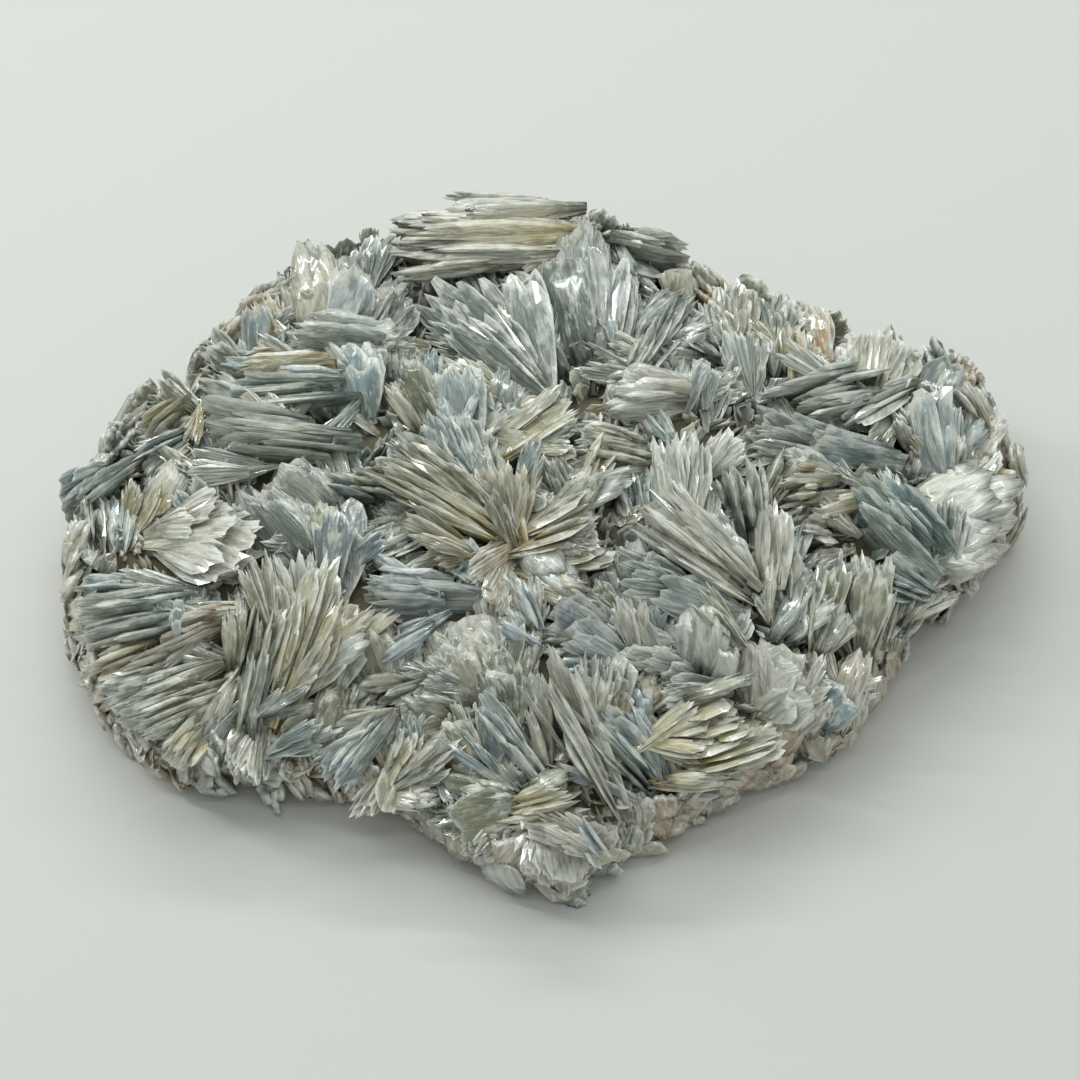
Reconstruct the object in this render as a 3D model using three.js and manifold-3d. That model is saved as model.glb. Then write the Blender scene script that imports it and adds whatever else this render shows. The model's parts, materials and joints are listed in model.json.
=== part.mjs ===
// A cluster of bladed barite: thin tabular crystals in fans, books, crests and blocky
// plates, grown together on a crust with a flat underside. Millimetres, +Z up, resting on z = 0.
import * as THREE from 'three';
import { mergeVertices } from 'three/addons/utils/BufferGeometryUtils.js';
import Module from 'manifold-3d';

const wasm = await Module();
wasm.setup();

// Driving dimensions of the crust. The growth height is what the fans grow from.
const domeHeight = 22;         // growth height at the middle of the cluster
const backShoulder = 20;       // growth height at the back rim
const frontShoulder = 9;       // growth height at the front rim
const crustDrop = 1.5;         // how far the crust between the fans lies under the growth height
const underShare = 0.9;        // the flat underside, as a share of the widest outline
const footShare = 0.97;        // the outline just above the underside
const footHeight = 1.6;
const shoulderShare = 0.94;    // where the wall turns over into the top of the crust
const swellLength = 5;         // millimetres per radian of the low swells in the dome
const topRings = [0.7, 0.4];   // rings of points on the top, as shares of the widest outline

// Driving dimensions of the slabs that the fans are made of.
const thinnestSlab = 1.1;
const edgeOnFill = 0.62;       // share of an edge-on fan's width that its slabs fill
const widestEdgeOn = 9;        // widest that an edge-on blade's length can make it
const edgeReach = 4.5;         // how far an edge-on blade reaches down past the growth height
const edgeSlabSteps = [3.8, 6.2];       // fan widths past which it takes a 2nd and a 3rd slab
const faceOnSlab = 1.6;        // thickness of a slab that faces the eye
const faceOnSplay = 0.12;      // radians that the slabs of a face-on fan part in thickness
const faceSlabSteps = [8.5, 14.5];
const slabShares = [0.66, 0.66, 0.52];  // width of a face-on slab in a fan of one, two and three
const shorterBy = 0.06;        // a fan's slabs differ in length by this share, in three steps
const slabTwist = 0.04;        // radians by which each slab is turned past the last, about its length
const weldStep = 0.22;         // detail smaller than this is closed up in the joined solid

// The display face: the cluster is laid out as it is looked at, from the front and above.
// u runs to the right and v up the leaning display plane, in millimetres.
const displayTilt = THREE.MathUtils.degToRad(55);
const eyeDistance = 400;
const aim = new THREE.Vector3(0, 0, 12);
const right = new THREE.Vector3(1, 0, 0);
const upSlope = new THREE.Vector3(0, Math.sin(displayTilt), Math.cos(displayTilt));
const eye = new THREE.Vector3(0, -Math.cos(displayTilt), Math.sin(displayTilt))
  .multiplyScalar(eyeDistance).add(aim);

// The crust's widest outline: u, v and the height there.
const crustRim = [
  [-60, 8, 8], [-54.5, 14, 9], [-48, 20, 11], [-41, 26.5, 12], [-33.5, 33, 13], [-24, 37.5, 14],
  [-18, 38.5, 14], [-9, 39.5, 14], [-1, 40, 14], [8, 39, 14], [17.5, 35.5, 14], [22.5, 31.5, 14],
  [32, 28.5, 13], [42, 25.5, 12], [52, 22, 10], [58.5, 18.5, 9], [62, 12, 8], [65, 4.5, 6],
  [59, -5, 5], [50, -10.5, 4], [46, -18, 4], [40.5, -27, 4], [31, -31.5, 4], [20, -36.3, 4],
  [11, -41.3, 4], [2.5, -46.5, 4], [-6, -45, 4], [-12, -40, 4], [-18, -35.5, 4], [-27, -33, 4],
  [-38, -33, 4], [-48, -31, 5], [-56.5, -24.5, 5], [-62, -15, 6], [-64, -6, 7], [-62.5, 2, 7],
];

// Hollows between the fans: place on the display face, radius and depth.
const hollows = [
  { at: [-17, -4], radius: 5, depth: 5 }, { at: [22.5, 1.5], radius: 3, depth: 5 },
  { at: [46.5, 13.5], radius: 3, depth: 5 }, { at: [-13.5, 27.5], radius: 4, depth: 5 },
  { at: [14.5, 36], radius: 3, depth: 4 }, { at: [-2, 8], radius: 4, depth: 4 },
  { at: [-47, -12.5], radius: 3, depth: 4 }, { at: [2, -10], radius: 3, depth: 5 },
  { at: [8.5, 8.5], radius: 3, depth: 5 }, { at: [-36, 16], radius: 4, depth: 4 },
  { at: [-27, -24], radius: 4, depth: 4 }, { at: [-45, -30], radius: 3, depth: 3 },
];

// How each kind of growth looks. roll is how far its blades turn from edge-on (0) to face-on
// (90) and sunk how far their roots run on into the crust. foot is the thickness of the stack
// at its root, as a share of the fan's width where the blades are edge-on and otherwise in
// millimetres. blade is the width of an edge-on blade as a share of its length.
const kinds = {
  feather: { roll: 8, foot: 0.35, outline: 'spear', blade: 0.42, edgeOn: true, sunk: 1.5 },
  book: { roll: 8, foot: 0.8, outline: 'tablet', blade: 0.4, edgeOn: true, sunk: 0 },
  spear: { roll: 20, foot: 0.6, outline: 'spear', blade: 0.25, edgeOn: true, sunk: 1 },
  crest: { roll: 62, foot: 2.4, outline: 'crest', edgeOn: false, sunk: 3 },
  plate: { roll: 70, foot: 2, outline: 'crest', edgeOn: false, sunk: 3 },
  block: { roll: 66, foot: 2.4, outline: 'tablet', edgeOn: false, sunk: 2 },
};

// Outlines of one blade: across as a share of its width, along as a share of its length.
const outlines = {
  spear: [[-0.3, 0], [-0.5, 0.6], [0.1, 1], [0.5, 0.7], [0.3, 0]],
  tablet: [[-0.42, 0], [-0.5, 0.93], [0.1, 1], [0.5, 0.86], [0.42, 0]],
  crest: [[-0.3, 0], [-0.5, 0.78], [0, 1], [0.5, 0.7], [0.3, 0]],
};

// Every fan: its root and tip on the display face, how far both stand above the crust,
// and how wide it is at the tip. A roll given here goes before that of the kind. Upper left.
const fans = [
  { name: 'upperLeftLobes', kind: 'crest', root: [-34, 31], tip: [-26.5, 41.3], rise: [0, 5], wide: 12 },
  { name: 'upperLeftCrest', kind: 'crest', root: [-35, 27], tip: [-37.5, 34.5], rise: [0, 5], wide: 6 },
  { name: 'upperLeftBlades', kind: 'plate', root: [-38, 23.5], tip: [-38, 31.5], rise: [0, 6], wide: 4 },
  { name: 'upperLeftRim', kind: 'plate', root: [-39.5, 22.5], tip: [-45, 27], rise: [0, 3], wide: 7 },
  { name: 'leftRimPlates', kind: 'plate', root: [-45, 17], tip: [-52.3, 21], rise: [0, 2], wide: 6 },
  { name: 'triangle', kind: 'crest', root: [-27, 27], tip: [-24.5, 37], rise: [0, 6], wide: 8 },
  { name: 'upperLeftGrey', kind: 'crest', root: [-20.5, 26], tip: [-34, 28], rise: [1, 4], wide: 8 },
  { name: 'creviceBlades', kind: 'feather', root: [-23.5, 26], tip: [-18.5, 33.5], rise: [1, 5], wide: 3 },
  { name: 'upperLeftBlue', kind: 'plate', root: [-24, 18], tip: [-25.5, 27], rise: [1, 5], wide: 11 },
  { name: 'yellowSpear', kind: 'spear', root: [-33, 23.5], tip: [-41, 22.5], rise: [3, 3], wide: 2 },

  // Left, long books of blades.
  { name: 'leftBookUpper', kind: 'book', root: [-23.5, 19.5], tip: [-45.5, 18], rise: [4, 4], wide: 4.5 },
  { name: 'leftBookCream', kind: 'book', root: [-25.5, 22.5], tip: [-40, 21], rise: [4, 4], wide: 2 },
  { name: 'leftBookLower', kind: 'book', root: [-24, 11.5], tip: [-46.5, 13.5], rise: [4, 5], wide: 5.5 },
  { name: 'leftSpearUpper', kind: 'spear', root: [-46, 18.5], tip: [-52, 13.5], rise: [4, 4], wide: 2.4 },
  { name: 'leftSpears', kind: 'feather', root: [-51, 11.5], tip: [-63, 4], rise: [2, 4], wide: 4 },
  { name: 'leftSmallBlade', kind: 'spear', root: [-46, 14], tip: [-54, 10], rise: [3, 4], wide: 2 },
  { name: 'leftWall', kind: 'book', root: [-58, -2.5], tip: [-58.5, 7], rise: [0, 1], wide: 8 },
  { name: 'leftWallInner', kind: 'feather', root: [-54, 1.5], tip: [-50, 8.5], rise: [1, 4], wide: 3.5 },
  { name: 'leftBluePlates', kind: 'plate', root: [-43.5, 3.5], tip: [-46, 9.5], rise: [0, 4], wide: 6 },

  // Left of the middle.
  { name: 'leftUpperPlates', kind: 'crest', root: [-43, 5.5], tip: [-52, 12], rise: [0, 3], wide: 7 },
  { name: 'leftRosette', kind: 'crest', root: [-52.5, -0.5], tip: [-38, -2], rise: [0, 5], wide: 15 },
  { name: 'leftRosetteUpper', kind: 'crest', root: [-51, 1], tip: [-42, 4.5], rise: [1, 6], wide: 8 },
  { name: 'leftStripUpper', kind: 'book', root: [-45.5, -8], tip: [-63.5, -11], rise: [3, 3], wide: 2.6 },
  { name: 'leftStripMiddle', kind: 'book', root: [-46.5, -11], tip: [-63, -15], rise: [3, 3], wide: 2.6 },
  { name: 'leftStripLower', kind: 'book', root: [-50, -14], tip: [-61, -18.5], rise: [2, 2], wide: 2.6 },
  { name: 'leftRhomb', kind: 'block', root: [-48, -13], tip: [-48.5, -8.5], rise: [2, 5], wide: 3.5 },
  { name: 'leftLensUpper', kind: 'book', root: [-39.5, -10.5], tip: [-54.5, -17], rise: [4, 4], wide: 3 },
  { name: 'leftLensLower', kind: 'spear', root: [-46.5, -15], tip: [-57, -19], rise: [3, 3], wide: 2.4 },
  { name: 'mottledPlates', kind: 'crest', root: [-32, -2.5], tip: [-39, 7.5], rise: [0, 4], wide: 11 },
  { name: 'mottledUpper', kind: 'crest', root: [-28, 3], tip: [-35, 10], rise: [0, 4], wide: 9 },
  { name: 'bigBluePlate', kind: 'block', root: [-27.5, -6], tip: [-26.5, 6.5], rise: [1, 5], wide: 9 },
  { name: 'leftGapPlates', kind: 'crest', root: [-33.5, -11], tip: [-36.5, -2], rise: [0, 4], wide: 8 },

  // Lower left spray.
  { name: 'lowSprayMiddle', kind: 'feather', root: [-38, -26], tip: [-30, -0.5], rise: [3, 9], wide: 5.5 },
  { name: 'lowSprayRight', kind: 'feather', root: [-36, -26], tip: [-26, -7], rise: [3, 7], wide: 5 },
  { name: 'lowSprayLeft', kind: 'feather', root: [-41, -25.7], tip: [-36, -8], rise: [3, 7], wide: 6 },
  { name: 'oliveStripUpper', kind: 'book', root: [-41, -17.5], tip: [-57.5, -24], rise: [3, 3], wide: 3 },
  { name: 'oliveStripMiddle', kind: 'book', root: [-40, -20.5], tip: [-55.5, -27],
    rise: [3, 2], wide: 3.4 },
  { name: 'oliveStripLower', kind: 'book', root: [-46, -18], tip: [-59, -22], rise: [2, 2], wide: 2.6 },
  { name: 'lowLeftLens', kind: 'book', root: [-43.3, -23.8], tip: [-49, -30.5], rise: [3, 2], wide: 4 },
  { name: 'lowLeftShell', kind: 'crest', root: [-37.5, -24.5], tip: [-39.5, -33.3],
    rise: [0, 0], wide: 13 },
  { name: 'lowDarkPlates', kind: 'plate', root: [-26, -20], tip: [-29.5, -30], rise: [1, 0], wide: 9 },
  { name: 'lowSideBlades', kind: 'plate', root: [-28.5, -21.5], tip: [-24.5, -12], rise: [0, 3], wide: 7 },

  // Top, middle.
  { name: 'topBandUpper', kind: 'book', root: [-19.5, 41], tip: [1.5, 43.8],
    rise: [6, 6], wide: 3.4, roll: -35 },
  { name: 'topBandLower', kind: 'book', root: [-18, 38.5], tip: [2.5, 39.5],
    rise: [6, 6], wide: 5.5, roll: -20 },
  { name: 'bigFanLeft', kind: 'plate', root: [0, 20], tip: [-17.5, 35], rise: [1, 5], wide: 8 },
  { name: 'bigFanMiddle', kind: 'plate', root: [0.5, 19.5], tip: [-11, 35], rise: [1, 6], wide: 9 },
  { name: 'bigFanRight', kind: 'plate', root: [0.5, 19.5], tip: [-3, 36.5], rise: [1, 6], wide: 8 },
  { name: 'topPlatesLeft', kind: 'crest', root: [6, 22], tip: [5, 43.8], rise: [0, 7], wide: 10 },
  { name: 'topPlatesRight', kind: 'crest', root: [8.5, 24], tip: [10.5, 41], rise: [0, 6], wide: 10 },
  { name: 'topLeftCrest', kind: 'crest', root: [-23, 34], tip: [-21.5, 41.8], rise: [0, 4], wide: 8 },
  { name: 'topMiddlePlates', kind: 'crest', root: [3.5, 36], tip: [5, 44], rise: [0, 4], wide: 8 },
  { name: 'topEdgeStack', kind: 'book', root: [7.5, 39.6], tip: [20, 37.2],
    rise: [5, 5], wide: 3.9, roll: -30 },
  { name: 'creamBlocks', kind: 'block', root: [18.5, 31], tip: [18, 36.5], rise: [0, 4], wide: 6 },
  { name: 'glassyRight', kind: 'feather', root: [13.5, 24], tip: [20, 33], rise: [2, 6], wide: 5 },
  { name: 'glassyLeft', kind: 'feather', root: [12, 25.5], tip: [15.5, 32], rise: [2, 6], wide: 3 },
  { name: 'pinkCrest', kind: 'crest', root: [26, 26.5], tip: [25, 35], rise: [0, 4], wide: 11 },

  // Middle.
  { name: 'middleBlue', kind: 'plate', root: [-9.5, 13], tip: [-11.5, 24.5], rise: [0, 4], wide: 10 },
  { name: 'middleBrown', kind: 'plate', root: [-14.5, 17], tip: [-18, 24.5], rise: [0, 4], wide: 6 },
  { name: 'blueSpearLeft', kind: 'feather', root: [-9.5, 3], tip: [-17, 17.5], rise: [2, 8], wide: 3.5 },
  { name: 'blueSpearRight', kind: 'feather', root: [-8.5, 3], tip: [-13, 17], rise: [2, 8], wide: 3.5 },
  { name: 'sprayLeft', kind: 'feather', root: [-4.5, -1.5], tip: [-24, 9.5], rise: [3, 9], wide: 6 },
  { name: 'sprayLeftUpper', kind: 'feather', root: [-4.5, -1], tip: [-21, 13], rise: [3, 10], wide: 3.5 },
  { name: 'sprayUp', kind: 'feather', root: [-4.5, -1], tip: [-9, 13], rise: [3, 9], wide: 5.5 },
  { name: 'sprayRight', kind: 'feather', root: [-4.5, -1.5], tip: [10, 2], rise: [3, 6], wide: 7 },
  { name: 'sprayRightUpper', kind: 'feather', root: [-4, 0.5], tip: [8, 6.5], rise: [3, 6], wide: 4.5 },
  { name: 'sprayFootLeft', kind: 'crest', root: [-4.5, -1], tip: [-8.5, -7], rise: [2, 4], wide: 9 },
  { name: 'sprayFootRight', kind: 'crest', root: [-0.5, -1], tip: [4.5, -7], rise: [2, 4], wide: 8 },
  { name: 'yellowBundle', kind: 'book', root: [-6.5, 11], tip: [5.5, 18.5], rise: [3, 5], wide: 4 },
  { name: 'yellowBundleUpper', kind: 'book', root: [-6, 14], tip: [1, 19], rise: [2, 4], wide: 3 },
  { name: 'palePinShort', kind: 'spear', root: [2.5, 5], tip: [0, 10.5], rise: [2, 5], wide: 2 },
  { name: 'palePinLong', kind: 'feather', root: [3.5, 5], tip: [9, 15.5], rise: [2, 6], wide: 3.5 },
  { name: 'leftBlueSpears', kind: 'feather', root: [-20, 4.5], tip: [-30, 8], rise: [2, 4], wide: 3.5 },
  { name: 'threeLeaves', kind: 'feather', root: [-13.5, 1.5], tip: [-22, -2], rise: [1, 3], wide: 5.5 },
  { name: 'spindle', kind: 'book', root: [-5.5, -9], tip: [-24.5, -8], rise: [4, 4], wide: 3.6 },
  { name: 'needle', kind: 'spear', root: [-1.5, -12.5], tip: [-4.5, -5.5], rise: [3, 6], wide: 1.6 },

  // Right of the middle.
  { name: 'mosaicPlate', kind: 'block', root: [21.5, 18.5], tip: [6, 19], rise: [0.5, 5], wide: 9 },
  { name: 'mosaicCorner', kind: 'block', root: [20.1, 18.5], tip: [22, 24], rise: [0.5, 5], wide: 4.5 },
  { name: 'brownLenses', kind: 'book', root: [17, 10], tip: [4.5, 12.5], rise: [2, 3], wide: 5.5 },
  { name: 'uprightPlates', kind: 'crest', root: [18.5, 0.5], tip: [18.5, 15], rise: [0, 5], wide: 11 },
  { name: 'diagonalFeather', kind: 'feather', root: [28, -8.5], tip: [12, 3.5], rise: [3, 8], wide: 8 },
  { name: 'greyNeedles', kind: 'feather', root: [27.5, -1], tip: [25, 11.5], rise: [2, 7], wide: 5 },
  { name: 'longUpright', kind: 'feather', root: [29.5, -13.5], tip: [30, 6.5], rise: [3, 8], wide: 4 },
  { name: 'uprightThin', kind: 'feather', root: [32.5, -13.5], tip: [33.5, -2.5], rise: [3, 6], wide: 3 },
  { name: 'uprightBroad', kind: 'feather', root: [35.5, -13.5], tip: [37.5, -1.5],
    rise: [3, 6], wide: 5.5 },

  // Right.
  { name: 'rightPointed', kind: 'crest', root: [28, 20], tip: [27.5, 29.5], rise: [0, 5], wide: 8 },
  { name: 'rightCrestSmall', kind: 'crest', root: [31, 27], tip: [31, 33.5], rise: [0, 4], wide: 7 },
  { name: 'rightThinCream', kind: 'feather', root: [33, 21.5], tip: [33.5, 30], rise: [1, 5], wide: 4 },
  { name: 'rightLeaves', kind: 'feather', root: [23.5, 24], tip: [19.5, 27.5], rise: [1, 4], wide: 4 },
  { name: 'rightTanRim', kind: 'plate', root: [37.5, 25], tip: [36.5, 31.8], rise: [0, 3], wide: 8 },
  { name: 'rightMound', kind: 'crest', root: [44, 20], tip: [45, 29], rise: [1, 4], wide: 17 },
  { name: 'rightShoulder', kind: 'crest', root: [52, 18], tip: [55.5, 24], rise: [0, 3], wide: 8 },
  { name: 'rightStack', kind: 'book', root: [50.5, 22.5], tip: [30.5, 17.5], rise: [4, 5], wide: 4 },
  { name: 'rightStackLower', kind: 'book', root: [47.5, 18.5], tip: [35, 16.5], rise: [3, 4], wide: 3 },
  { name: 'rightPrism', kind: 'block', root: [53, 9.5], tip: [52, 20.5], rise: [1, 6], wide: 7 },
  { name: 'rightPrismSide', kind: 'block', root: [55, 10], tip: [55, 19], rise: [1, 5], wide: 3 },
  { name: 'rightCreamBlade', kind: 'spear', root: [58.5, 14.5], tip: [55, 20], rise: [2, 5], wide: 2 },
  { name: 'steppedBlue', kind: 'block', root: [47.5, 10.5], tip: [32.5, 15], rise: [0.5, 5], wide: 7 },
  { name: 'rightLamellae', kind: 'book', root: [42, 7], tip: [32, 6.5], rise: [3, 4], wide: 3.4 },
  { name: 'tealBundle', kind: 'book', root: [53.5, -5.5], tip: [41.5, 7], rise: [5, 7], wide: 6 },
  { name: 'whiteMass', kind: 'crest', root: [51, 2], tip: [64, 8.5], rise: [0, 2], wide: 11 },
  { name: 'whiteMassLow', kind: 'crest', root: [53, 1], tip: [63.5, 0], rise: [0, 0], wide: 10 },
  { name: 'rightRim', kind: 'plate', root: [56.5, 9.5], tip: [59.5, 20.3], rise: [0, 1], wide: 7 },
  { name: 'paleLens', kind: 'book', root: [40.5, 0], tip: [34, 1], rise: [3, 4], wide: 3.4 },
  { name: 'greenPlates', kind: 'crest', root: [43.5, -15], tip: [43.5, -1], rise: [1, 5], wide: 9 },
  { name: 'greenPlatesRight', kind: 'crest', root: [46.5, -12], tip: [48.5, -3], rise: [0, 2], wide: 6 },
  { name: 'rightRimLow', kind: 'plate', root: [57.5, 5], tip: [62, 13.5], rise: [0, 1], wide: 6 },
  { name: 'rightMiddle', kind: 'crest', root: [38, 7.5], tip: [32, 12], rise: [0, 3], wide: 9 },
  { name: 'rightMiddleUpper', kind: 'plate', root: [36, 12], tip: [28, 14.5], rise: [0, 4], wide: 6 },
  { name: 'rightInner', kind: 'crest', root: [22.5, 17], tip: [23, 24], rise: [0, 3], wide: 7 },
  { name: 'rimStripes', kind: 'book', root: [47.5, -9.5], tip: [56.5, -5.5], rise: [1, 1], wide: 3.6 },

  // Lower middle and lower right.
  { name: 'lowBlueBlocks', kind: 'block', root: [8.5, -12.5], tip: [2.5, -8.5], rise: [1, 5], wide: 6.5 },
  { name: 'lowWhiteBlocks', kind: 'block', root: [10.5, -16], tip: [3.5, -12.5], rise: [1, 4], wide: 6.5 },
  { name: 'lowCreamCrest', kind: 'crest', root: [13, -14], tip: [11, -7], rise: [1, 5], wide: 6 },
  { name: 'lowPlate', kind: 'plate', root: [18, -16.5], tip: [11, -15], rise: [1, 4], wide: 5 },
  { name: 'smoothBlue', kind: 'plate', root: [25.5, -10], tip: [12, -5.5], rise: [1, 4], wide: 7 },
  { name: 'jaggedPlate', kind: 'crest', root: [21.5, -16], tip: [22, -8.5], rise: [1, 4], wide: 9 },
  { name: 'lowInner', kind: 'crest', root: [13, -7.5], tip: [13.5, 0.5], rise: [0, 3], wide: 9 },
  { name: 'lowInnerRight', kind: 'plate', root: [24, -20], tip: [16, -20.5], rise: [0, 4], wide: 6 },
  { name: 'smallLeaf', kind: 'spear', root: [26.5, -5.5], tip: [23.5, -3], rise: [2, 4], wide: 2 },
  { name: 'warmPlatesLeft', kind: 'crest', root: [-21, -18], tip: [-23, -10.5], rise: [0, 3], wide: 9 },
  { name: 'warmPlatesLow', kind: 'crest', root: [-8, -30], tip: [-11.5, -21.5], rise: [0, 3], wide: 9 },
  { name: 'warmPlates', kind: 'crest', root: [-8, -21.5], tip: [-14, -10.5], rise: [0, 4], wide: 13 },
  { name: 'smallStar', kind: 'crest', root: [-10, -19.5], tip: [-15.5, -16.5], rise: [1, 4], wide: 5 },
  { name: 'lowLeaves', kind: 'feather', root: [-14, -18.5], tip: [-22.5, -21.5], rise: [2, 3], wide: 3.5 },
  { name: 'olivePlate', kind: 'plate', root: [-4, -23.5], tip: [-8, -13.5], rise: [0, 4], wide: 7 },
  { name: 'creamPlates', kind: 'crest', root: [6.5, -27], tip: [8, -16.5], rise: [0, 4], wide: 12 },
  { name: 'lowBluePlate', kind: 'block', root: [13.5, -29], tip: [9, -23.5], rise: [1, 4], wide: 6 },
  { name: 'mainDiagonal', kind: 'feather', root: [10, -38.5], tip: [-2.5, -15.5], rise: [2, 9], wide: 6 },
  { name: 'secondDiagonal', kind: 'feather', root: [16, -35], tip: [3, -21.5], rise: [2, 6], wide: 4.5 },
  { name: 'diagonalSpear', kind: 'feather', root: [0, -33], tip: [-9.5, -20], rise: [2, 6], wide: 4.5 },
  { name: 'paleRidge', kind: 'book', root: [14.5, -26], tip: [29.5, -21.5], rise: [4, 5], wide: 4 },
  { name: 'yellowRidge', kind: 'book', root: [15.5, -30], tip: [33, -23.5], rise: [4, 5], wide: 4.5 },
  { name: 'whiteCrest', kind: 'crest', root: [29, -22], tip: [32, -14.5], rise: [1, 6], wide: 18 },
  { name: 'whiteCrestRight', kind: 'crest', root: [35, -22.5], tip: [40.5, -16.5], rise: [0, 3], wide: 8 },
  { name: 'oliveRim', kind: 'crest', root: [40.5, -23], tip: [43.5, -14.5], rise: [0, 2], wide: 6 },
  { name: 'smallUpright', kind: 'spear', root: [17.5, -34.5], tip: [20, -30], rise: [1, 3], wide: 3 },

  // Bottom.
  { name: 'bottomBlue', kind: 'book', root: [-18.5, -22.5], tip: [-27.5, -34], rise: [4, 3], wide: 4 },
  { name: 'bottomSpearsLeft', kind: 'feather', root: [-21.5, -33], tip: [-16.5, -24],
    rise: [2, 5], wide: 4 },
  { name: 'bottomSpearsRight', kind: 'feather', root: [-20.5, -33], tip: [-11.5, -25.5],
    rise: [2, 5], wide: 4 },
  { name: 'bottomCream', kind: 'plate', root: [-19.5, -30], tip: [-23.3, -38.3], rise: [0, 0], wide: 6 },
  { name: 'bottomTan', kind: 'plate', root: [-15.5, -30.5], tip: [-16, -35.3], rise: [0, 0], wide: 7 },
  { name: 'bottomShell', kind: 'crest', root: [-5.5, -36], tip: [-12.5, -36.5], rise: [1, 2], wide: 10 },
  { name: 'bottomShellLow', kind: 'crest', root: [-6, -37.4], tip: [-10.5, -42.5], rise: [0, 0], wide: 8 },
  { name: 'bottomLamellae', kind: 'feather', root: [-7, -36.5], tip: [6, -34], rise: [3, 5], wide: 7 },
  { name: 'bottomMound', kind: 'crest', root: [1.5, -37.5], tip: [1, -46.3], rise: [0, 0], wide: 15 },
  { name: 'bottomBlueBlade', kind: 'spear', root: [6, -37], tip: [10, -43.7], rise: [4, 2], wide: 2.6 },
];

// The back, out of sight of the display face: two rows of crests along the rim. Angles are
// about the middle, counter-clockwise from the right; share is that of the outline's radius.
const backRows = [
  { name: 'up', count: 9, from: 30, to: 150, share: 0.82, height: 16, reach: 9, climb: 3, wide: 13 },
  { name: 'low', count: 8, from: 36, to: 144, share: 0.86, height: 7, reach: 9, climb: 4, wide: 12 },
];

const backFacing = new THREE.Vector3(0, 0.4, 1);   // what the back crests turn their faces to

// The point at a given height that is seen at u, v on the display face.
function placeAt(u, v, height) {
  const onPlane = aim.clone().addScaledVector(right, u).addScaledVector(upSlope, v);
  const share = (height - eye.z) / (onPlane.z - eye.z);
  return eye.clone().lerp(onPlane, share);
}

const rimPoints = crustRim.map(([u, v, height]) => placeAt(u, v, height));
const middle = new THREE.Vector3(1, 0, 0);
const rimPolar = rimPoints.map((p) => ({
  angle: Math.atan2(p.y - middle.y, p.x - middle.x),
  radius: Math.hypot(p.x - middle.x, p.y - middle.y),
  height: p.z,
})).sort((a, b) => a.angle - b.angle);

// The widest outline's distance from the middle, between the two nearest rim points.
function rimRadius(angle) {
  const count = rimPolar.length;
  const above = rimPolar.findIndex((p) => p.angle > angle);
  const after = rimPolar[above < 0 ? 0 : above];
  const before = rimPolar[((above < 0 ? 0 : above) + count - 1) % count];
  const turn = (from, to) => (to - from + 4 * Math.PI) % (2 * Math.PI);
  const share = turn(before.angle, angle) / turn(before.angle, after.angle);
  return THREE.MathUtils.lerp(before.radius, after.radius, share);
}

// The crust's shoulder rises from front to back.
function shoulderHeight(angle) {
  return THREE.MathUtils.lerp(frontShoulder, backShoulder, 0.5 + 0.5 * Math.sin(angle));
}

// The height that fans grow from over a point of the plan: a low dome with swells.
function growthHeight(x, y) {
  const angle = Math.atan2(y - middle.y, x - middle.x);
  const share = Math.min(1, Math.hypot(x - middle.x, y - middle.y) / rimRadius(angle));
  const edge = shoulderHeight(angle);
  const dome = edge + (domeHeight - edge) * (1 - share * share);
  const swell = Math.sin(x / swellLength + 0.8) * Math.cos(y / swellLength - 0.4);
  return dome + swell * (1 - share);
}

const settlePasses = 8;        // enough for the point to settle on the dome

// The point that stands `rise` above the growth height and is seen at u, v.
function onCrust([u, v], rise) {
  let point = placeAt(u, v, domeHeight);
  for (let pass = 0; pass < settlePasses; pass += 1) {
    point = placeAt(u, v, growthHeight(point.x, point.y) + rise);
  }
  return point;
}

// Joins position-only triangles into a manifold solid.
function solidFrom(geometry) {
  geometry.deleteAttribute('normal');
  geometry.deleteAttribute('uv');
  const merged = mergeVertices(geometry, 1e-4);
  return new wasm.Manifold(new wasm.Mesh({
    numProp: 3,
    vertProperties: new Float32Array(merged.attributes.position.array),
    triVerts: new Uint32Array(merged.index.array),
  }));
}

// The crust: rings of points from the flat underside out round the wall and in over the top.
function makeCrust() {
  const shares = [underShare, footShare, 1, shoulderShare, ...topRings];
  const rings = shares.map((share, ring) => rimPolar.map(({ angle, radius, height }) => {
    const x = middle.x + Math.cos(angle) * radius * share;
    const y = middle.y + Math.sin(angle) * radius * share;
    const wallHeights = [0, footHeight, height, shoulderHeight(angle) - crustDrop];
    const z = wallHeights[ring] ?? growthHeight(x, y) - crustDrop;
    return new THREE.Vector3(x, y, z);
  }));
  const count = rimPolar.length;
  const points = rings.flat();
  const under = points.push(middle.clone()) - 1;
  const summit = growthHeight(middle.x, middle.y) - crustDrop;
  const top = points.push(middle.clone().setZ(summit)) - 1;
  const faces = [];
  for (let k = 0; k < count; k += 1) {
    const next = (k + 1) % count;
    faces.push(under, next, k);
    for (let ring = 0; ring + 1 < rings.length; ring += 1) {
      const low = ring * count;
      const high = low + count;
      faces.push(low + k, low + next, high + next, low + k, high + next, high + k);
    }
    const last = (rings.length - 1) * count;
    faces.push(last + k, last + next, top);
  }
  const geometry = new THREE.BufferGeometry().setFromPoints(points);
  geometry.setIndex(faces);
  return solidFrom(geometry);
}

// A hollow: a rough faceted ball set so that it bites `depth` into the crust.
function makeHollow({ at, radius, depth }) {
  const geometry = new THREE.IcosahedronGeometry(radius, 0);
  const surface = onCrust(at, 0);
  geometry.translate(surface.x, surface.y, surface.z + radius - depth);
  return solidFrom(geometry);
}

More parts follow.
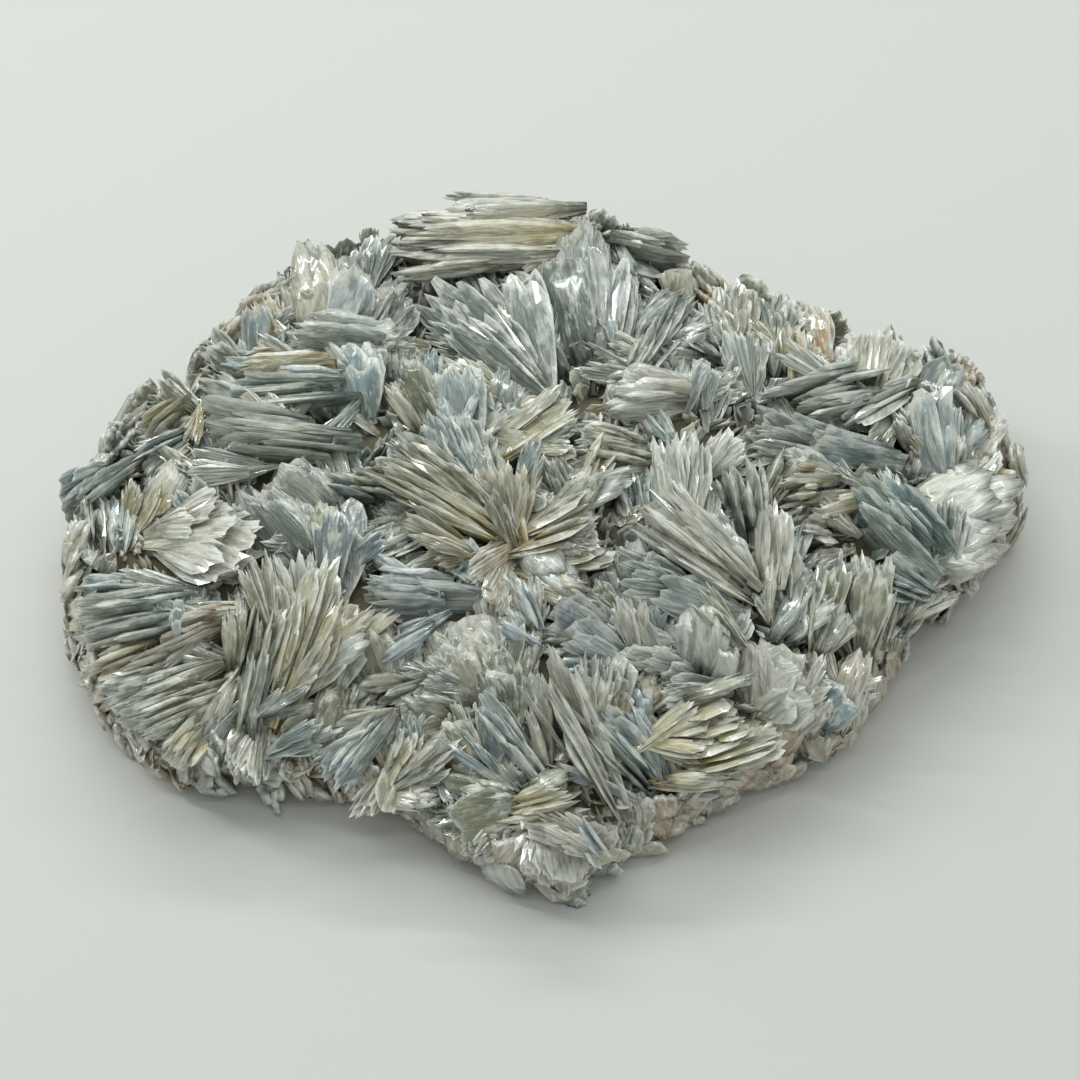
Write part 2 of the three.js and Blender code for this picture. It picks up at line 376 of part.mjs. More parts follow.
// The frame of a fan: along it, across its blades and the direction that the blades face.
function fanFrame(fan, kind) {
  const root = fan.from ?? onCrust(fan.root, fan.rise[0]);
  const tip = fan.to ?? onCrust(fan.tip, fan.rise[1]);
  const along = tip.clone().sub(root);
  const length = along.length();
  along.normalize();
  const toEye = (fan.from ? backFacing.clone() : eye.clone().sub(root)).normalize();
  const facing = toEye.addScaledVector(along, -toEye.dot(along)).normalize();
  const sideways = facing.clone().cross(along);
  const roll = THREE.MathUtils.degToRad(fan.roll ?? kind.roll);
  const normal = sideways.multiplyScalar(Math.cos(roll)).addScaledVector(facing, Math.sin(roll));
  const across = along.clone().cross(normal);
  return { root, along, across, normal, facing, length };
}

// One blade: its outline, as thick as asked, set in the fan's frame.
function makeBlade(outline, width, length, thickness, origin, across, along, normal) {
  const corners = outlines[outline].map(([a, l]) => new THREE.Vector2(a * width, l * length));
  const shape = new THREE.Shape(corners);
  const geometry = new THREE.ExtrudeGeometry(shape, { depth: thickness, bevelEnabled: false });
  geometry.translate(0, 0, -thickness / 2);
  geometry.applyMatrix4(new THREE.Matrix4().makeBasis(across, along, normal).setPosition(origin));
  return solidFrom(geometry);
}

// The slabs that stand for a fan's blades: they part towards the tip, edge-on fans in
// thickness and face-on ones sideways, as the real blades do.
function makeFan(fan) {
  const kind = kinds[fan.kind];
  const { root, along, across, normal, facing, length } = fanFrame(fan, kind);
  const slabSteps = kind.edgeOn ? edgeSlabSteps : faceSlabSteps;
  const slabs = 1 + slabSteps.filter((step) => fan.wide > step).length;
  const leastWidth = Math.max(...(fan.rise ?? [0])) + edgeReach;
  const width = kind.edgeOn
    ? Math.max(leastWidth, Math.min(widestEdgeOn, length * kind.blade))
    : fan.wide * slabShares[slabs - 1];
  const stack = kind.edgeOn ? fan.wide * kind.foot : kind.foot;
  const spread = kind.edgeOn ? (fan.wide - stack) / length : faceOnSplay;
  const sweep = kind.edgeOn ? 0 : (fan.wide - width) / length;
  const thickness = kind.edgeOn ? Math.max(thinnestSlab, (fan.wide / slabs) * edgeOnFill) : faceOnSlab;
  const drop = (width / 2) * Math.abs(across.dot(facing));
  const origin = root.clone().addScaledVector(along, -kind.sunk).addScaledVector(facing, -drop);
  return Array.from({ length: slabs }, (_, k) => {
    const share = slabs > 1 ? k / (slabs - 1) - 0.5 : 0;
    const splay = new THREE.Quaternion().setFromAxisAngle(across, share * spread);
    const swing = new THREE.Quaternion().setFromAxisAngle(normal, -share * sweep);
    const twist = new THREE.Quaternion().setFromAxisAngle(along, k * slabTwist);
    const turn = splay.multiply(swing).multiply(twist);
    const start = origin.clone().addScaledVector(normal, share * stack);
    const reach = (length + kind.sunk) * (1 - shorterBy * ((k + fan.name.length) % 3));
    const axes = [across, along, normal].map((axis) => axis.clone().applyQuaternion(turn));
    return makeBlade(kind.outline, width, reach, thickness, start, ...axes);
  });
}

// Crests along the back rim, leaning outwards and up.
function makeBackRow({ name, count, from, to, share, height, reach, climb, wide }) {
  return Array.from({ length: count }, (_, k) => {
    const angle = THREE.MathUtils.degToRad(THREE.MathUtils.lerp(from, to, k / (count - 1)));
    const outwards = new THREE.Vector3(Math.cos(angle), Math.sin(angle), 0);
    const start = middle.clone().addScaledVector(outwards, rimRadius(angle) * share);
    start.z = height + (k % 2);
    const end = start.clone().addScaledVector(outwards, reach);
    end.z += climb - (k % 3);
    return makeFan({ name: `${name}${k}`, kind: 'crest', from: start, to: end, wide });
  }).flat();
}

const crust = wasm.Manifold.difference([makeCrust(), ...hollows.map(makeHollow)]);
const joined = wasm.Manifold.union([crust, ...fans.flatMap(makeFan), ...backRows.flatMap(makeBackRow)]);

// Trapped hollows are filled and the outer surface alone is kept.
const pieces = joined.asOriginal().simplify(weldStep).decompose();
const body = pieces.reduce((best, piece) => (piece.volume() > best.volume() ? piece : best));
const mesh = body.getMesh();
const cluster = new THREE.BufferGeometry();
cluster.setAttribute('position', new THREE.BufferAttribute(mesh.vertProperties, 3));
cluster.setIndex(new THREE.BufferAttribute(mesh.triVerts, 1));

// The origin is under the middle of the cluster, on the surface that it rests on.
cluster.computeBoundingBox();
const centre = cluster.boundingBox.getCenter(new THREE.Vector3());
cluster.translate(-centre.x, -centre.y, -cluster.boundingBox.min.z);
cluster.computeVertexNormals();

const barite = new THREE.MeshStandardMaterial({ color: 0x9aa39c, roughness: 0.45, metalness: 0 });
const part = new THREE.Group();
const clusterMesh = new THREE.Mesh(cluster, barite);
clusterMesh.name = 'barite_cluster';
part.add(clusterMesh);

export default part;
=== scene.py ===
# A cluster of bladed barite: fans of thin crystals grown together on a flat-bottomed crust.
# Shapes are worked out in millimetres, in the lay-out of the display face, and turned to
# metres in the frame's own place at the end.
import json
import math
import random

import bmesh
import bpy
import numpy as np
from mathutils import Matrix, Vector, noise

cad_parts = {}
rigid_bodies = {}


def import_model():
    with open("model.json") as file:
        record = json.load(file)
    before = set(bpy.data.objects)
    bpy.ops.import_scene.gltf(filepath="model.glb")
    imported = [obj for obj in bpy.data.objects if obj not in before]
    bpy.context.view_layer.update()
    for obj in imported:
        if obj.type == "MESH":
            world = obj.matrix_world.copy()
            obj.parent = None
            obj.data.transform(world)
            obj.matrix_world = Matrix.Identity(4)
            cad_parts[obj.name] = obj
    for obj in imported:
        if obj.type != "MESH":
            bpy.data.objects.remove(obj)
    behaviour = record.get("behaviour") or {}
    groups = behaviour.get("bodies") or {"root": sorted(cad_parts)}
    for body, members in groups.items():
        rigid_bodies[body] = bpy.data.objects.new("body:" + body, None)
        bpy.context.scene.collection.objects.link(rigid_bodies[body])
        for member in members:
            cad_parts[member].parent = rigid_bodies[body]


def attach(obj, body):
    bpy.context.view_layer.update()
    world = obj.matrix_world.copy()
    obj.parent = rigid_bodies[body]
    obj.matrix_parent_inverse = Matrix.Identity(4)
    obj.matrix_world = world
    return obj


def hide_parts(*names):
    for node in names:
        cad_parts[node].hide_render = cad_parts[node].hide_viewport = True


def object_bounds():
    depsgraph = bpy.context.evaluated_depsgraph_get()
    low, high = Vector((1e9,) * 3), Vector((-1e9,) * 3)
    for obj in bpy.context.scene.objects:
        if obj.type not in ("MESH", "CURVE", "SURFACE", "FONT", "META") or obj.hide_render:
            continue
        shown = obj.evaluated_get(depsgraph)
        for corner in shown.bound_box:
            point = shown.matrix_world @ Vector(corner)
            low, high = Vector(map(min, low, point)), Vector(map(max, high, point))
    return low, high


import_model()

solidLow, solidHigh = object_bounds()

layout = {
    "displayTilt": 55.0,              # how far the display face leans back, in degrees
    "eyeDistance": 400.0,
    "aim": (0.0, 0.0, 12.0),
    "middle": (1.0, 0.0, 0.0),        # what the outline's angles are taken about
    "centre": (1.2073, 1.2777, 0.0),  # under the middle of the whole cluster
    "domeHeight": 22.0,
    "backShoulder": 20.0,
    "frontShoulder": 9.0,
    "swellLength": 5.0,
    "swellShift": (0.8, -0.4),
}

tilt = math.radians(layout["displayTilt"])
aim = Vector(layout["aim"])
middle = Vector(layout["middle"])
toEye = Vector((0, -math.cos(tilt), math.sin(tilt)))
upSlope = Vector((0, math.sin(tilt), math.cos(tilt)))
eye = aim + toEye * layout["eyeDistance"]
toMetres = 0.001
toRow = Matrix.Scale(toMetres, 4) @ Matrix.Translation(-Vector(layout["centre"]))

# The crust's widest outline on the display face: across, up the slope and the height there.
crustRim = [
    (-60, 8, 8), (-54.5, 14, 9), (-48, 20, 11), (-41, 26.5, 12), (-33.5, 33, 13), (-24, 37.5, 14),
    (-18, 38.5, 14), (-9, 39.5, 14), (-1, 40, 14), (8, 39, 14), (17.5, 35.5, 14), (22.5, 31.5, 14),
    (32, 28.5, 13), (42, 25.5, 12), (52, 22, 10), (58.5, 18.5, 9), (62, 12, 8), (65, 4.5, 6),
    (59, -5, 5), (50, -10.5, 4), (46, -18, 4), (40.5, -27, 4), (31, -31.5, 4), (20, -36.3, 4),
    (11, -41.3, 4), (2.5, -46.5, 4), (-6, -45, 4), (-12, -40, 4), (-18, -35.5, 4), (-27, -33, 4),
    (-38, -33, 4), (-48, -31, 5), (-56.5, -24.5, 5), (-62, -15, 6), (-64, -6, 7), (-62.5, 2, 7),
]

# Every fan: its name, kind, root and tip on the display face, how far both stand above the
# crust, its width at the tip, its tint and, where it isn't its kind's own, its roll.
fans = {
    "upperLeft": [
        ("upperLeftLobes", "mass", (-29, 28), (-30, 40.5), (0, 5), 15, "creamGrey"),
        ("upperLeftCrest", "crest", (-35, 27), (-37.5, 34.5), (0, 5), 6, "cream"),
        ("upperLeftBlades", "plate", (-38, 23.5), (-38, 31.5), (0, 6), 4, "blue"),
        ("upperLeftRim", "plate", (-39.5, 22.5), (-45, 27), (0, 3), 7, "deepOlive"),
        ("leftRimPlates", "plate", (-45, 17), (-52.3, 21), (0, 2), 6, "deepOlive"),
        ("triangle", "slab", (-27, 27), (-24.5, 37), (0, 6), 8, "iceBlue"),
        ("upperLeftGrey", "mass", (-20.5, 26), (-34, 28), (1, 4), 8, "grey"),
        ("creviceBlades", "feather", (-23.5, 26), (-18.5, 33.5), (1, 5), 3, "grey"),
        ("upperLeftBlue", "slab", (-24, 18), (-25.5, 27), (1, 5), 11, "blue"),
        ("yellowSpear", "spear", (-33, 23.5), (-41, 22.5), (3, 3), 2, "yellow"),
    ],
    "left": [
        ("leftBookUpper", "book", (-23.5, 19.5), (-45.5, 18), (4, 4), 4.5, "greenBlue"),
        ("leftBookCream", "book", (-25.5, 22.5), (-40, 21), (4, 4), 2, "cream"),
        ("leftBookLower", "book", (-24, 11.5), (-46.5, 13.5), (4, 5), 5.5, "white"),
        ("leftSpearUpper", "spear", (-46, 18.5), (-52, 13.5), (4, 4), 2.4, "cream"),
        ("leftSpears", "feather", (-51, 11.5), (-63, 4), (2, 4), 4, "blue"),
        ("leftSmallBlade", "spear", (-46, 14), (-54, 10), (3, 4), 2, "blue"),
        ("leftWall", "book", (-58, -2.5), (-58.5, 7), (0, 1), 8, "deepOlive"),
        ("leftWallInner", "feather", (-54, 1.5), (-50, 8.5), (1, 4), 3.5, "yellow"),
        ("leftBluePlates", "plate", (-43.5, 3.5), (-46, 9.5), (0, 4), 6, "deepBlue"),
    ],
    "leftMiddle": [
        ("leftUpperPlates", "crest", (-43, 5.5), (-52, 12), (0, 3), 7, "deepOlive"),
        ("leftRosette", "clump", (-52.5, -0.5), (-38, -2), (0, 5), 15, "snow"),
        ("leftRosetteUpper", "clump", (-51, 1), (-42, 4.5), (1, 6), 8, "snow"),
        ("leftStripUpper", "book", (-45.5, -8), (-63.5, -11), (3, 3), 2.6, "grey"),
        ("leftStripMiddle", "book", (-46.5, -11), (-63, -15), (3, 3), 2.6, "grey"),
        ("leftStripLower", "book", (-50, -14), (-61, -18.5), (2, 2), 2.6, "cream"),
        ("leftRhomb", "block", (-48, -13), (-48.5, -8.5), (2, 5), 3.5, "blue"),
        ("leftLensUpper", "book", (-39.5, -10.5), (-54.5, -17), (4, 4), 3, "pinkCream"),
        ("leftLensLower", "spear", (-46.5, -15), (-57, -19), (3, 3), 2.4, "pinkCream"),
        ("mottledPlates", "mass", (-32, -2.5), (-39, 7.5), (0, 4), 11, "deepGrey"),
        ("mottledUpper", "mass", (-28, 3), (-35, 10), (0, 4), 9, "deepGrey"),
        ("bigBluePlate", "slab", (-27.5, -6), (-26.5, 6.5), (1, 5), 9, "deepBlue"),
        ("leftGapPlates", "crest", (-33.5, -11), (-36.5, -2), (0, 4), 8, "snow"),
    ],
    "lowLeft": [
        ("lowSprayMiddle", "feather", (-38, -26), (-30, -0.5), (3, 9), 5.5, "yellowRoot"),
        ("lowSprayRight", "feather", (-36, -26), (-26, -7), (3, 7), 5, "cream"),
        ("lowSprayLeft", "feather", (-41, -25.7), (-36, -8), (3, 7), 6, "olive"),
        ("oliveStripUpper", "book", (-41, -17.5), (-57.5, -24), (3, 3), 3, "olive"),
        ("oliveStripMiddle", "book", (-40, -20.5), (-55.5, -27), (3, 2), 3.4, "olive"),
        ("oliveStripLower", "book", (-46, -18), (-59, -22), (2, 2), 2.6, "grey"),
        ("lowLeftLens", "book", (-43.3, -23.8), (-49, -30.5), (3, 2), 4, "cream"),
        ("lowLeftShell", "clump", (-37.5, -24.5), (-39.5, -33.3), (0, 0), 13, "warmGrey"),
        ("lowDarkPlates", "mass", (-26, -20), (-29.5, -30), (1, 0), 9, "darkOlive"),
        ("lowSideBlades", "plate", (-28.5, -21.5), (-24.5, -12), (0, 3), 7, "grey"),
    ],
    "top": [
        ("topBandUpper", "band", (4, 44.4), (-13.5, 43.4), (5, 6), 5.5, "snow"),
        ("topBandLower", "band", (5, 38.6), (-20.5, 37.6), (4, 5), 5.5, "creamGrey"),
        ("bigFanLeft", "slab", (0, 20), (-17.5, 35), (1, 5), 8, "haze"),
        ("bigFanMiddle", "slab", (0.5, 19.5), (-11, 35), (1, 6), 9, "haze"),
        ("bigFanRight", "slab", (0.5, 19.5), (-3, 36.5), (1, 6), 8, "haze"),
        ("topPlatesLeft", "mass", (6, 22), (5, 43.8), (0, 7), 10, "haze"),
        ("topPlatesRight", "slab", (8.5, 24), (10.5, 41), (0, 6), 10, "haze"),
        ("topLeftCrest", "crest", (-23, 34), (-21.5, 41.8), (0, 4), 8, "deepGrey"),
        ("topMiddlePlates", "clump", (3.5, 36), (5, 44), (0, 4), 8, "grey"),
        ("topEdgeStack", "book", (7.5, 39.6), (20, 37.2), (5, 5), 3.9, "white", -30),
        ("creamBlocks", "block", (18.5, 31), (18, 36.5), (0, 4), 6, "cream"),
        ("glassyRight", "feather", (13.5, 24), (20, 33), (2, 6), 5, "haze"),
        ("glassyLeft", "feather", (12, 25.5), (15.5, 32), (2, 6), 3, "haze"),
        ("pinkCrest", "crest", (26, 26.5), (25, 35), (0, 4), 11, "creamGrey"),
        ("topBandMiddle", "band", (4.5, 41.4), (-20.8, 41.2), (5, 6), 6, "cream"),
    ],
    "middle": [
        ("middleBlue", "slab", (-9.5, 13), (-11.5, 24.5), (0, 4), 10, "blue"),
        ("middleBrown", "mass", (-14.5, 17), (-18, 24.5), (0, 4), 6, "darkOlive"),
        ("blueSpearLeft", "feather", (-9.5, 3), (-17, 17.5), (2, 8), 3.5, "blue"),
        ("blueSpearRight", "feather", (-8.5, 3), (-13, 17), (2, 8), 3.5, "blue"),
        ("sprayLeft", "feather", (-4.5, -1.5), (-24, 9.5), (3, 9), 6, "yellowRoot"),
        ("sprayLeftUpper", "feather", (-4.5, -1), (-21, 13), (3, 10), 3.5, "olive"),
        ("sprayUp", "feather", (-4.5, -1), (-9, 13), (3, 9), 5.5, "cream"),
        ("sprayRight", "feather", (-4.5, -1.5), (10, 2), (3, 6), 7, "beige"),
        ("sprayRightUpper", "feather", (-4, 0.5), (8, 6.5), (3, 6), 4.5, "beige"),
        ("sprayFootLeft", "crest", (-4.5, -1), (-8.5, -7), (2, 4), 9, "pinkCream"),
        ("sprayFootRight", "mass", (-0.5, -1), (4.5, -7), (2, 4), 8, "white"),
        ("yellowBundle", "book", (-6.5, 11), (5.5, 18.5), (3, 5), 4, "yellow"),
        ("yellowBundleUpper", "book", (-6, 14), (1, 19), (2, 4), 3, "yellow"),
        ("palePinShort", "spear", (2.5, 5), (0, 10.5), (2, 5), 2, "white"),
        ("palePinLong", "feather", (3.5, 5), (9, 15.5), (2, 6), 3.5, "cream"),
        ("leftBlueSpears", "feather", (-20, 4.5), (-30, 8), (2, 4), 3.5, "blue"),
        ("threeLeaves", "feather", (-13.5, 1.5), (-22, -2), (1, 3), 5.5, "grey"),
        ("spindle", "book", (-5.5, -9), (-24.5, -8), (4, 4), 3.6, "iceBlue"),
        ("needle", "spear", (-1.5, -12.5), (-4.5, -5.5), (3, 6), 1.6, "iceBlue"),
    ],
    "rightMiddle": [
        ("mosaicPlate", "mass", (21.5, 18.5), (6, 19), (0.5, 5), 9, "snow"),
        ("mosaicCorner", "block", (20.1, 18.5), (22, 24), (0.5, 5), 4.5, "blue"),
        ("brownLenses", "book", (17, 10), (4.5, 12.5), (2, 3), 5.5, "darkOlive"),
        ("uprightPlates", "crest", (18.5, 0.5), (18.5, 15), (0, 5), 11, "white"),
        ("diagonalFeather", "feather", (28, -8.5), (12, 3.5), (3, 8), 8, "snow"),
        ("greyNeedles", "feather", (27.5, -1), (25, 11.5), (2, 7), 5, "grey"),
        ("longUpright", "feather", (29.5, -13.5), (30, 6.5), (3, 8), 4, "snow"),
        ("uprightThin", "feather", (32.5, -13.5), (33.5, -2.5), (3, 6), 3, "grey"),
        ("uprightBroad", "feather", (35.5, -13.5), (37.5, -1.5), (3, 6), 5.5, "olive"),
    ],
    "right": [
        ("rightPointed", "crest", (28, 20), (27.5, 29.5), (0, 5), 8, "grey"),
        ("rightCrestSmall", "crest", (31, 27), (31, 33.5), (0, 4), 7, "grey"),
        ("rightThinCream", "feather", (33, 21.5), (33.5, 30), (1, 5), 4, "cream"),
        ("rightLeaves", "feather", (23.5, 24), (19.5, 27.5), (1, 4), 4, "grey"),
        ("rightTanRim", "plate", (37.5, 25), (36.5, 31.8), (0, 3), 8, "tan"),
        ("rightMound", "clump", (44, 20), (45, 29), (1, 4), 17, "creamGrey"),
        ("rightShoulder", "mass", (52, 18), (55.5, 24), (0, 3), 8, "deepGrey"),
        ("rightStack", "book", (50.5, 22.5), (30.5, 17.5), (4, 5), 4, "white"),
        ("rightStackLower", "book", (47.5, 18.5), (35, 16.5), (3, 4), 3, "white"),
        ("rightPrism", "block", (53, 9.5), (52, 20.5), (1, 6), 7, "blue"),
        ("rightPrismSide", "block", (55, 10), (55, 19), (1, 5), 3, "iceBlue"),
        ("rightCreamBlade", "spear", (58.5, 14.5), (55, 20), (2, 5), 2, "snow"),
        ("steppedBlue", "block", (47.5, 10.5), (32.5, 15), (0.5, 5), 7, "blue"),
        ("rightLamellae", "book", (42, 7), (32, 6.5), (3, 4), 3.4, "cream"),
        ("tealBundle", "book", (53.5, -5.5), (41.5, 7), (5, 7), 6, "teal"),
        ("whiteMass", "mass", (50, 3), (64.5, 8), (0, 3), 13, "bright"),
        ("whiteMassLow", "mass", (51, -1), (64, 0.5), (0, 2), 11, "bright"),
        ("rightRim", "plate", (56.5, 9.5), (59.5, 20.3), (0, 1), 7, "snow"),
        ("paleLens", "book", (40.5, 0), (34, 1), (3, 4), 3.4, "snow"),
        ("greenPlates", "crest", (43.5, -15), (43.5, -1), (1, 5), 9, "olive"),
        ("greenPlatesRight", "crest", (46.5, -12), (48.5, -3), (0, 2), 6, "olive"),
        ("rightRimLow", "plate", (57.5, 5), (62, 13.5), (0, 1), 6, "bright"),
        ("rightMiddle", "mass", (38, 7.5), (32, 12), (0, 3), 9, "grey"),
        ("rightMiddleUpper", "plate", (36, 12), (28, 14.5), (0, 4), 6, "grey"),
        ("rightInner", "crest", (22.5, 17), (23, 24), (0, 3), 7, "grey"),
        ("rimStripes", "book", (47.5, -9.5), (56.5, -5.5), (1, 1), 3.6, "snow"),
    ],
    "low": [
        ("lowBlueBlocks", "block", (8.5, -12.5), (2.5, -8.5), (1, 5), 6.5, "lavender"),
        ("lowWhiteBlocks", "block", (10.5, -16), (3.5, -12.5), (1, 4), 6.5, "iceBlue"),
        ("lowCreamCrest", "clump", (13, -14), (11, -7), (1, 5), 6, "snow"),
        ("lowPlate", "slab", (18, -16.5), (11, -15), (1, 4), 5, "white"),
        ("smoothBlue", "slab", (25.5, -10), (12, -5.5), (1, 4), 7, "blue"),
        ("jaggedPlate", "mass", (21.5, -16), (22, -8.5), (1, 4), 9, "white"),
        ("lowInner", "mass", (13, -7.5), (13.5, 0.5), (0, 3), 9, "deepGrey"),
        ("lowInnerRight", "plate", (24, -20), (16, -20.5), (0, 4), 6, "deepGrey"),
        ("smallLeaf", "spear", (26.5, -5.5), (23.5, -3), (2, 4), 2, "white"),
        ("warmPlatesLeft", "mass", (-21, -18), (-23, -10.5), (0, 3), 9, "warmGrey"),
        ("warmPlatesLow", "clump", (-8, -30), (-11.5, -21.5), (0, 3), 9, "darkOlive"),
        ("warmPlates", "mass", (-8, -21.5), (-14, -10.5), (0, 4), 13, "warmGrey"),
        ("smallStar", "crest", (-10, -19.5), (-15.5, -16.5), (1, 4), 5, "grey"),
        ("lowLeaves", "feather", (-14, -18.5), (-22.5, -21.5), (2, 3), 3.5, "grey"),
        ("olivePlate", "mass", (-4, -23.5), (-8, -13.5), (0, 4), 7, "deepOlive"),
        ("creamPlates", "clump", (6.5, -27), (8, -16.5), (0, 4), 12, "cream"),
        ("lowBluePlate", "slab", (13.5, -29), (9, -23.5), (1, 4), 6, "blue"),
        ("mainDiagonal", "feather", (10, -38.5), (-2.5, -15.5), (2, 9), 6, "snow"),
        ("secondDiagonal", "feather", (16, -35), (3, -21.5), (2, 6), 4.5, "blue"),
        ("diagonalSpear", "feather", (0, -33), (-9.5, -20), (2, 6), 4.5, "blue"),
        ("paleRidge", "book", (14.5, -26), (29.5, -21.5), (4, 5), 4, "cream"),
        ("yellowRidge", "book", (15.5, -30), (33, -23.5), (4, 5), 4.5, "yellowRoot"),
        ("whiteCrest", "crest", (29, -22), (32, -14.5), (1, 6), 18, "bright"),
        ("whiteCrestRight", "clump", (35, -22.5), (40.5, -16.5), (0, 3), 8, "snow"),
        ("oliveRim", "mass", (40.5, -23), (43.5, -14.5), (0, 2), 6, "pinkCream"),
        ("smallUpright", "spear", (17.5, -34.5), (20, -30), (1, 3), 3, "snow"),
    ],
    "bottom": [
        ("bottomBlue", "book", (-18.5, -22.5), (-27.5, -34), (4, 3), 4, "blue"),
        ("bottomSpearsLeft", "feather", (-21.5, -33), (-16.5, -24), (2, 5), 4, "yellowRoot"),
        ("bottomSpearsRight", "feather", (-20.5, -33), (-11.5, -25.5), (2, 5), 4, "snow"),
        ("bottomCream", "plate", (-19.5, -30), (-23.3, -38.3), (0, 0), 6, "yellowRoot"),
        ("bottomTan", "plate", (-15.5, -30.5), (-16, -35.3), (0, 0), 7, "tan"),
        ("bottomShell", "mass", (-5.5, -36), (-12.5, -36.5), (1, 2), 10, "darkOlive"),
        ("bottomShellLow", "crest", (-6, -37.4), (-10.5, -42.5), (0, 0), 8, "darkOlive"),
        ("bottomLamellae", "feather", (-7, -36.5), (6, -34), (3, 5), 7, "yellowRoot"),
        ("bottomMound", "crest", (1.5, -37.5), (1, -46.3), (0, 0), 15, "snow"),
        ("bottomBlueBlade", "spear", (6, -37), (10, -43.7), (4, 2), 2.6, "iceBlue"),
    ],
}


# The point at a given height that is seen at (across, up the slope).
def placeAt(across, up, height):
    onPlane = aim + Vector((1, 0, 0)) * across + upSlope * up
    return eye.lerp(onPlane, (height - eye.z) / (onPlane.z - eye.z))


rimPoints = [placeAt(*point) for point in crustRim]
rimPolar = sorted(
    (math.atan2(p.y - middle.y, p.x - middle.x), math.hypot(p.x - middle.x, p.y - middle.y), p.z)
    for p in rimPoints
)
rimAngles, rimRadii, rimHeights = np.array(rimPolar).T


def rimRadius(angle):
    return np.interp(angle, rimAngles, rimRadii, period=2 * math.pi)


def rimHeight(angle):
    return np.interp(angle, rimAngles, rimHeights, period=2 * math.pi)


def shoulderHeight(angle):
    low, high = layout["frontShoulder"], layout["backShoulder"]
    return low + (high - low) * (0.5 + 0.5 * np.sin(angle))


# The height that fans grow from: a low dome with swells. Takes numbers or arrays.
def growthHeight(x, y):
    angle = np.arctan2(y - middle.y, x - middle.x)
    share = np.minimum(1, np.hypot(x - middle.x, y - middle.y) / rimRadius(angle))
    edge = shoulderHeight(angle)
    dome = edge + (layout["domeHeight"] - edge) * (1 - share * share)
    length, (aside, along) = layout["swellLength"], layout["swellShift"]
    return dome + np.sin(x / length + aside) * np.cos(y / length + along) * (1 - share)


# The point that stands a given rise above the growth height and is seen at a place.
def onCrust(place, rise):
    point = placeAt(*place, layout["domeHeight"])
    for _ in range(8):  # enough for the point to settle on the dome
        point = placeAt(*place, growthHeight(point.x, point.y) + rise)
    return point


# Adds a node with its settings and links and gives back one of its outputs.
def addNode(tree, kind, inputs=None, give=0, **settings):
    node = tree.nodes.new(kind)
    for name, value in settings.items():
        setattr(node, name, value)
    for key, value in (inputs or {}).items():
        if isinstance(value, bpy.types.NodeSocket):
            tree.links.new(value, node.inputs[key])
        else:
            node.inputs[key].default_value = value
    return node.outputs[give] if len(node.outputs) else node


# An sRGB hex colour as a linear one.
def linear(hexColour):
    parts = [int(hexColour[i:i + 2], 16) / 255 for i in (1, 3, 5)]
    return [c / 12.92 if c <= 0.04045 else ((c + 0.055) / 1.055) ** 2.4 for c in parts] + [1.0]


# Keeps a value for each of a mesh's points under a name.
def keep(mesh, name, values, kind="FLOAT", field="value"):
    attribute = mesh.attributes.new(name, kind, "POINT")
    attribute.data.foreach_set(field, np.array(values, np.float32).ravel())


def pointsOf(mesh):
    points = np.empty(len(mesh.vertices) * 3, np.float32)
    mesh.vertices.foreach_get("co", points)
    return points.reshape(-1, 3)


# Which crystal each of a mesh's points belongs to.
def crystalsOf(mesh):
    crystals = np.empty(len(mesh.vertices), np.int32)
    mesh.attributes["crystal"].data.foreach_get("value", crystals)
    return crystals


# One blade is a plate of ridges that grew side by side and end unevenly. foot is how narrow
# its root is, belly where along it is widest, taper how much sooner its outer ridges end,
# ragged how unevenly they end, notch how deep the valleys cut between them, relief how deep
# the valleys are and bent how far the plate curves out of its plane. count is how many
# different ones are made.
bladeShapes = {
    "leaf": dict(ridges=4, foot=0.5, belly=0.4, taper=0.24, ragged=0.18, notch=0.06,
                 relief=0.4, bent=0.35, count=16),
    "tablet": dict(ridges=5, foot=0.7, belly=0.3, taper=0.12, ragged=0.12, notch=0.05,
                   relief=0.35, bent=0.2, count=10),
    "crest": dict(ridges=6, foot=0.36, belly=0.6, taper=0.2, ragged=0.13, notch=0.03,
                  relief=0.4, bent=0.5, count=14),
    "sheet": dict(ridges=5, foot=0.5, belly=0.45, taper=0.2, ragged=0.13, notch=0.04,
                  relief=0.16, bent=0.4, count=14, soft=True),
    "shard": dict(ridges=4, foot=0.5, belly=0.6, taper=0.14, ragged=0.1, notch=0.02,
                  relief=0.12, bent=0.12, count=12),
    "block": dict(ridges=2, foot=0.84, belly=0.3, taper=0.03, ragged=0.05, notch=0.0,
                  relief=0.06, bent=0.0, count=8),
    "chip": dict(ridges=2, foot=0.45, belly=0.6, taper=0.35, ragged=0.14, notch=0.1,
                 relief=0.4, bent=0.4, count=14),
}
# What all blades share, in shares of a blade's size.
bladeCut = {
    "rows": (0, 0.36, 0.8, 1),    # where along a ridge its points lie
    "taperPower": 1.7,            # how late the taper sets in towards the sides
    "endSteps": (0.6, 1, 2.2),    # what a ridge's ragged end is multiplied by
    "bellyPower": 0.8,            # how fast a blade widens from its root
    "ridgeHeight": 0.42,          # how high a ridge stands out on each face
    "strayAcross": 0.03,
    "strayAlong": 0.07,
    "strayThrough": 0.05,
    "rootRim": 0.3,               # what a root's edge and a ridge have of a sharp edge
    "ridgeRim": 0.4,
}


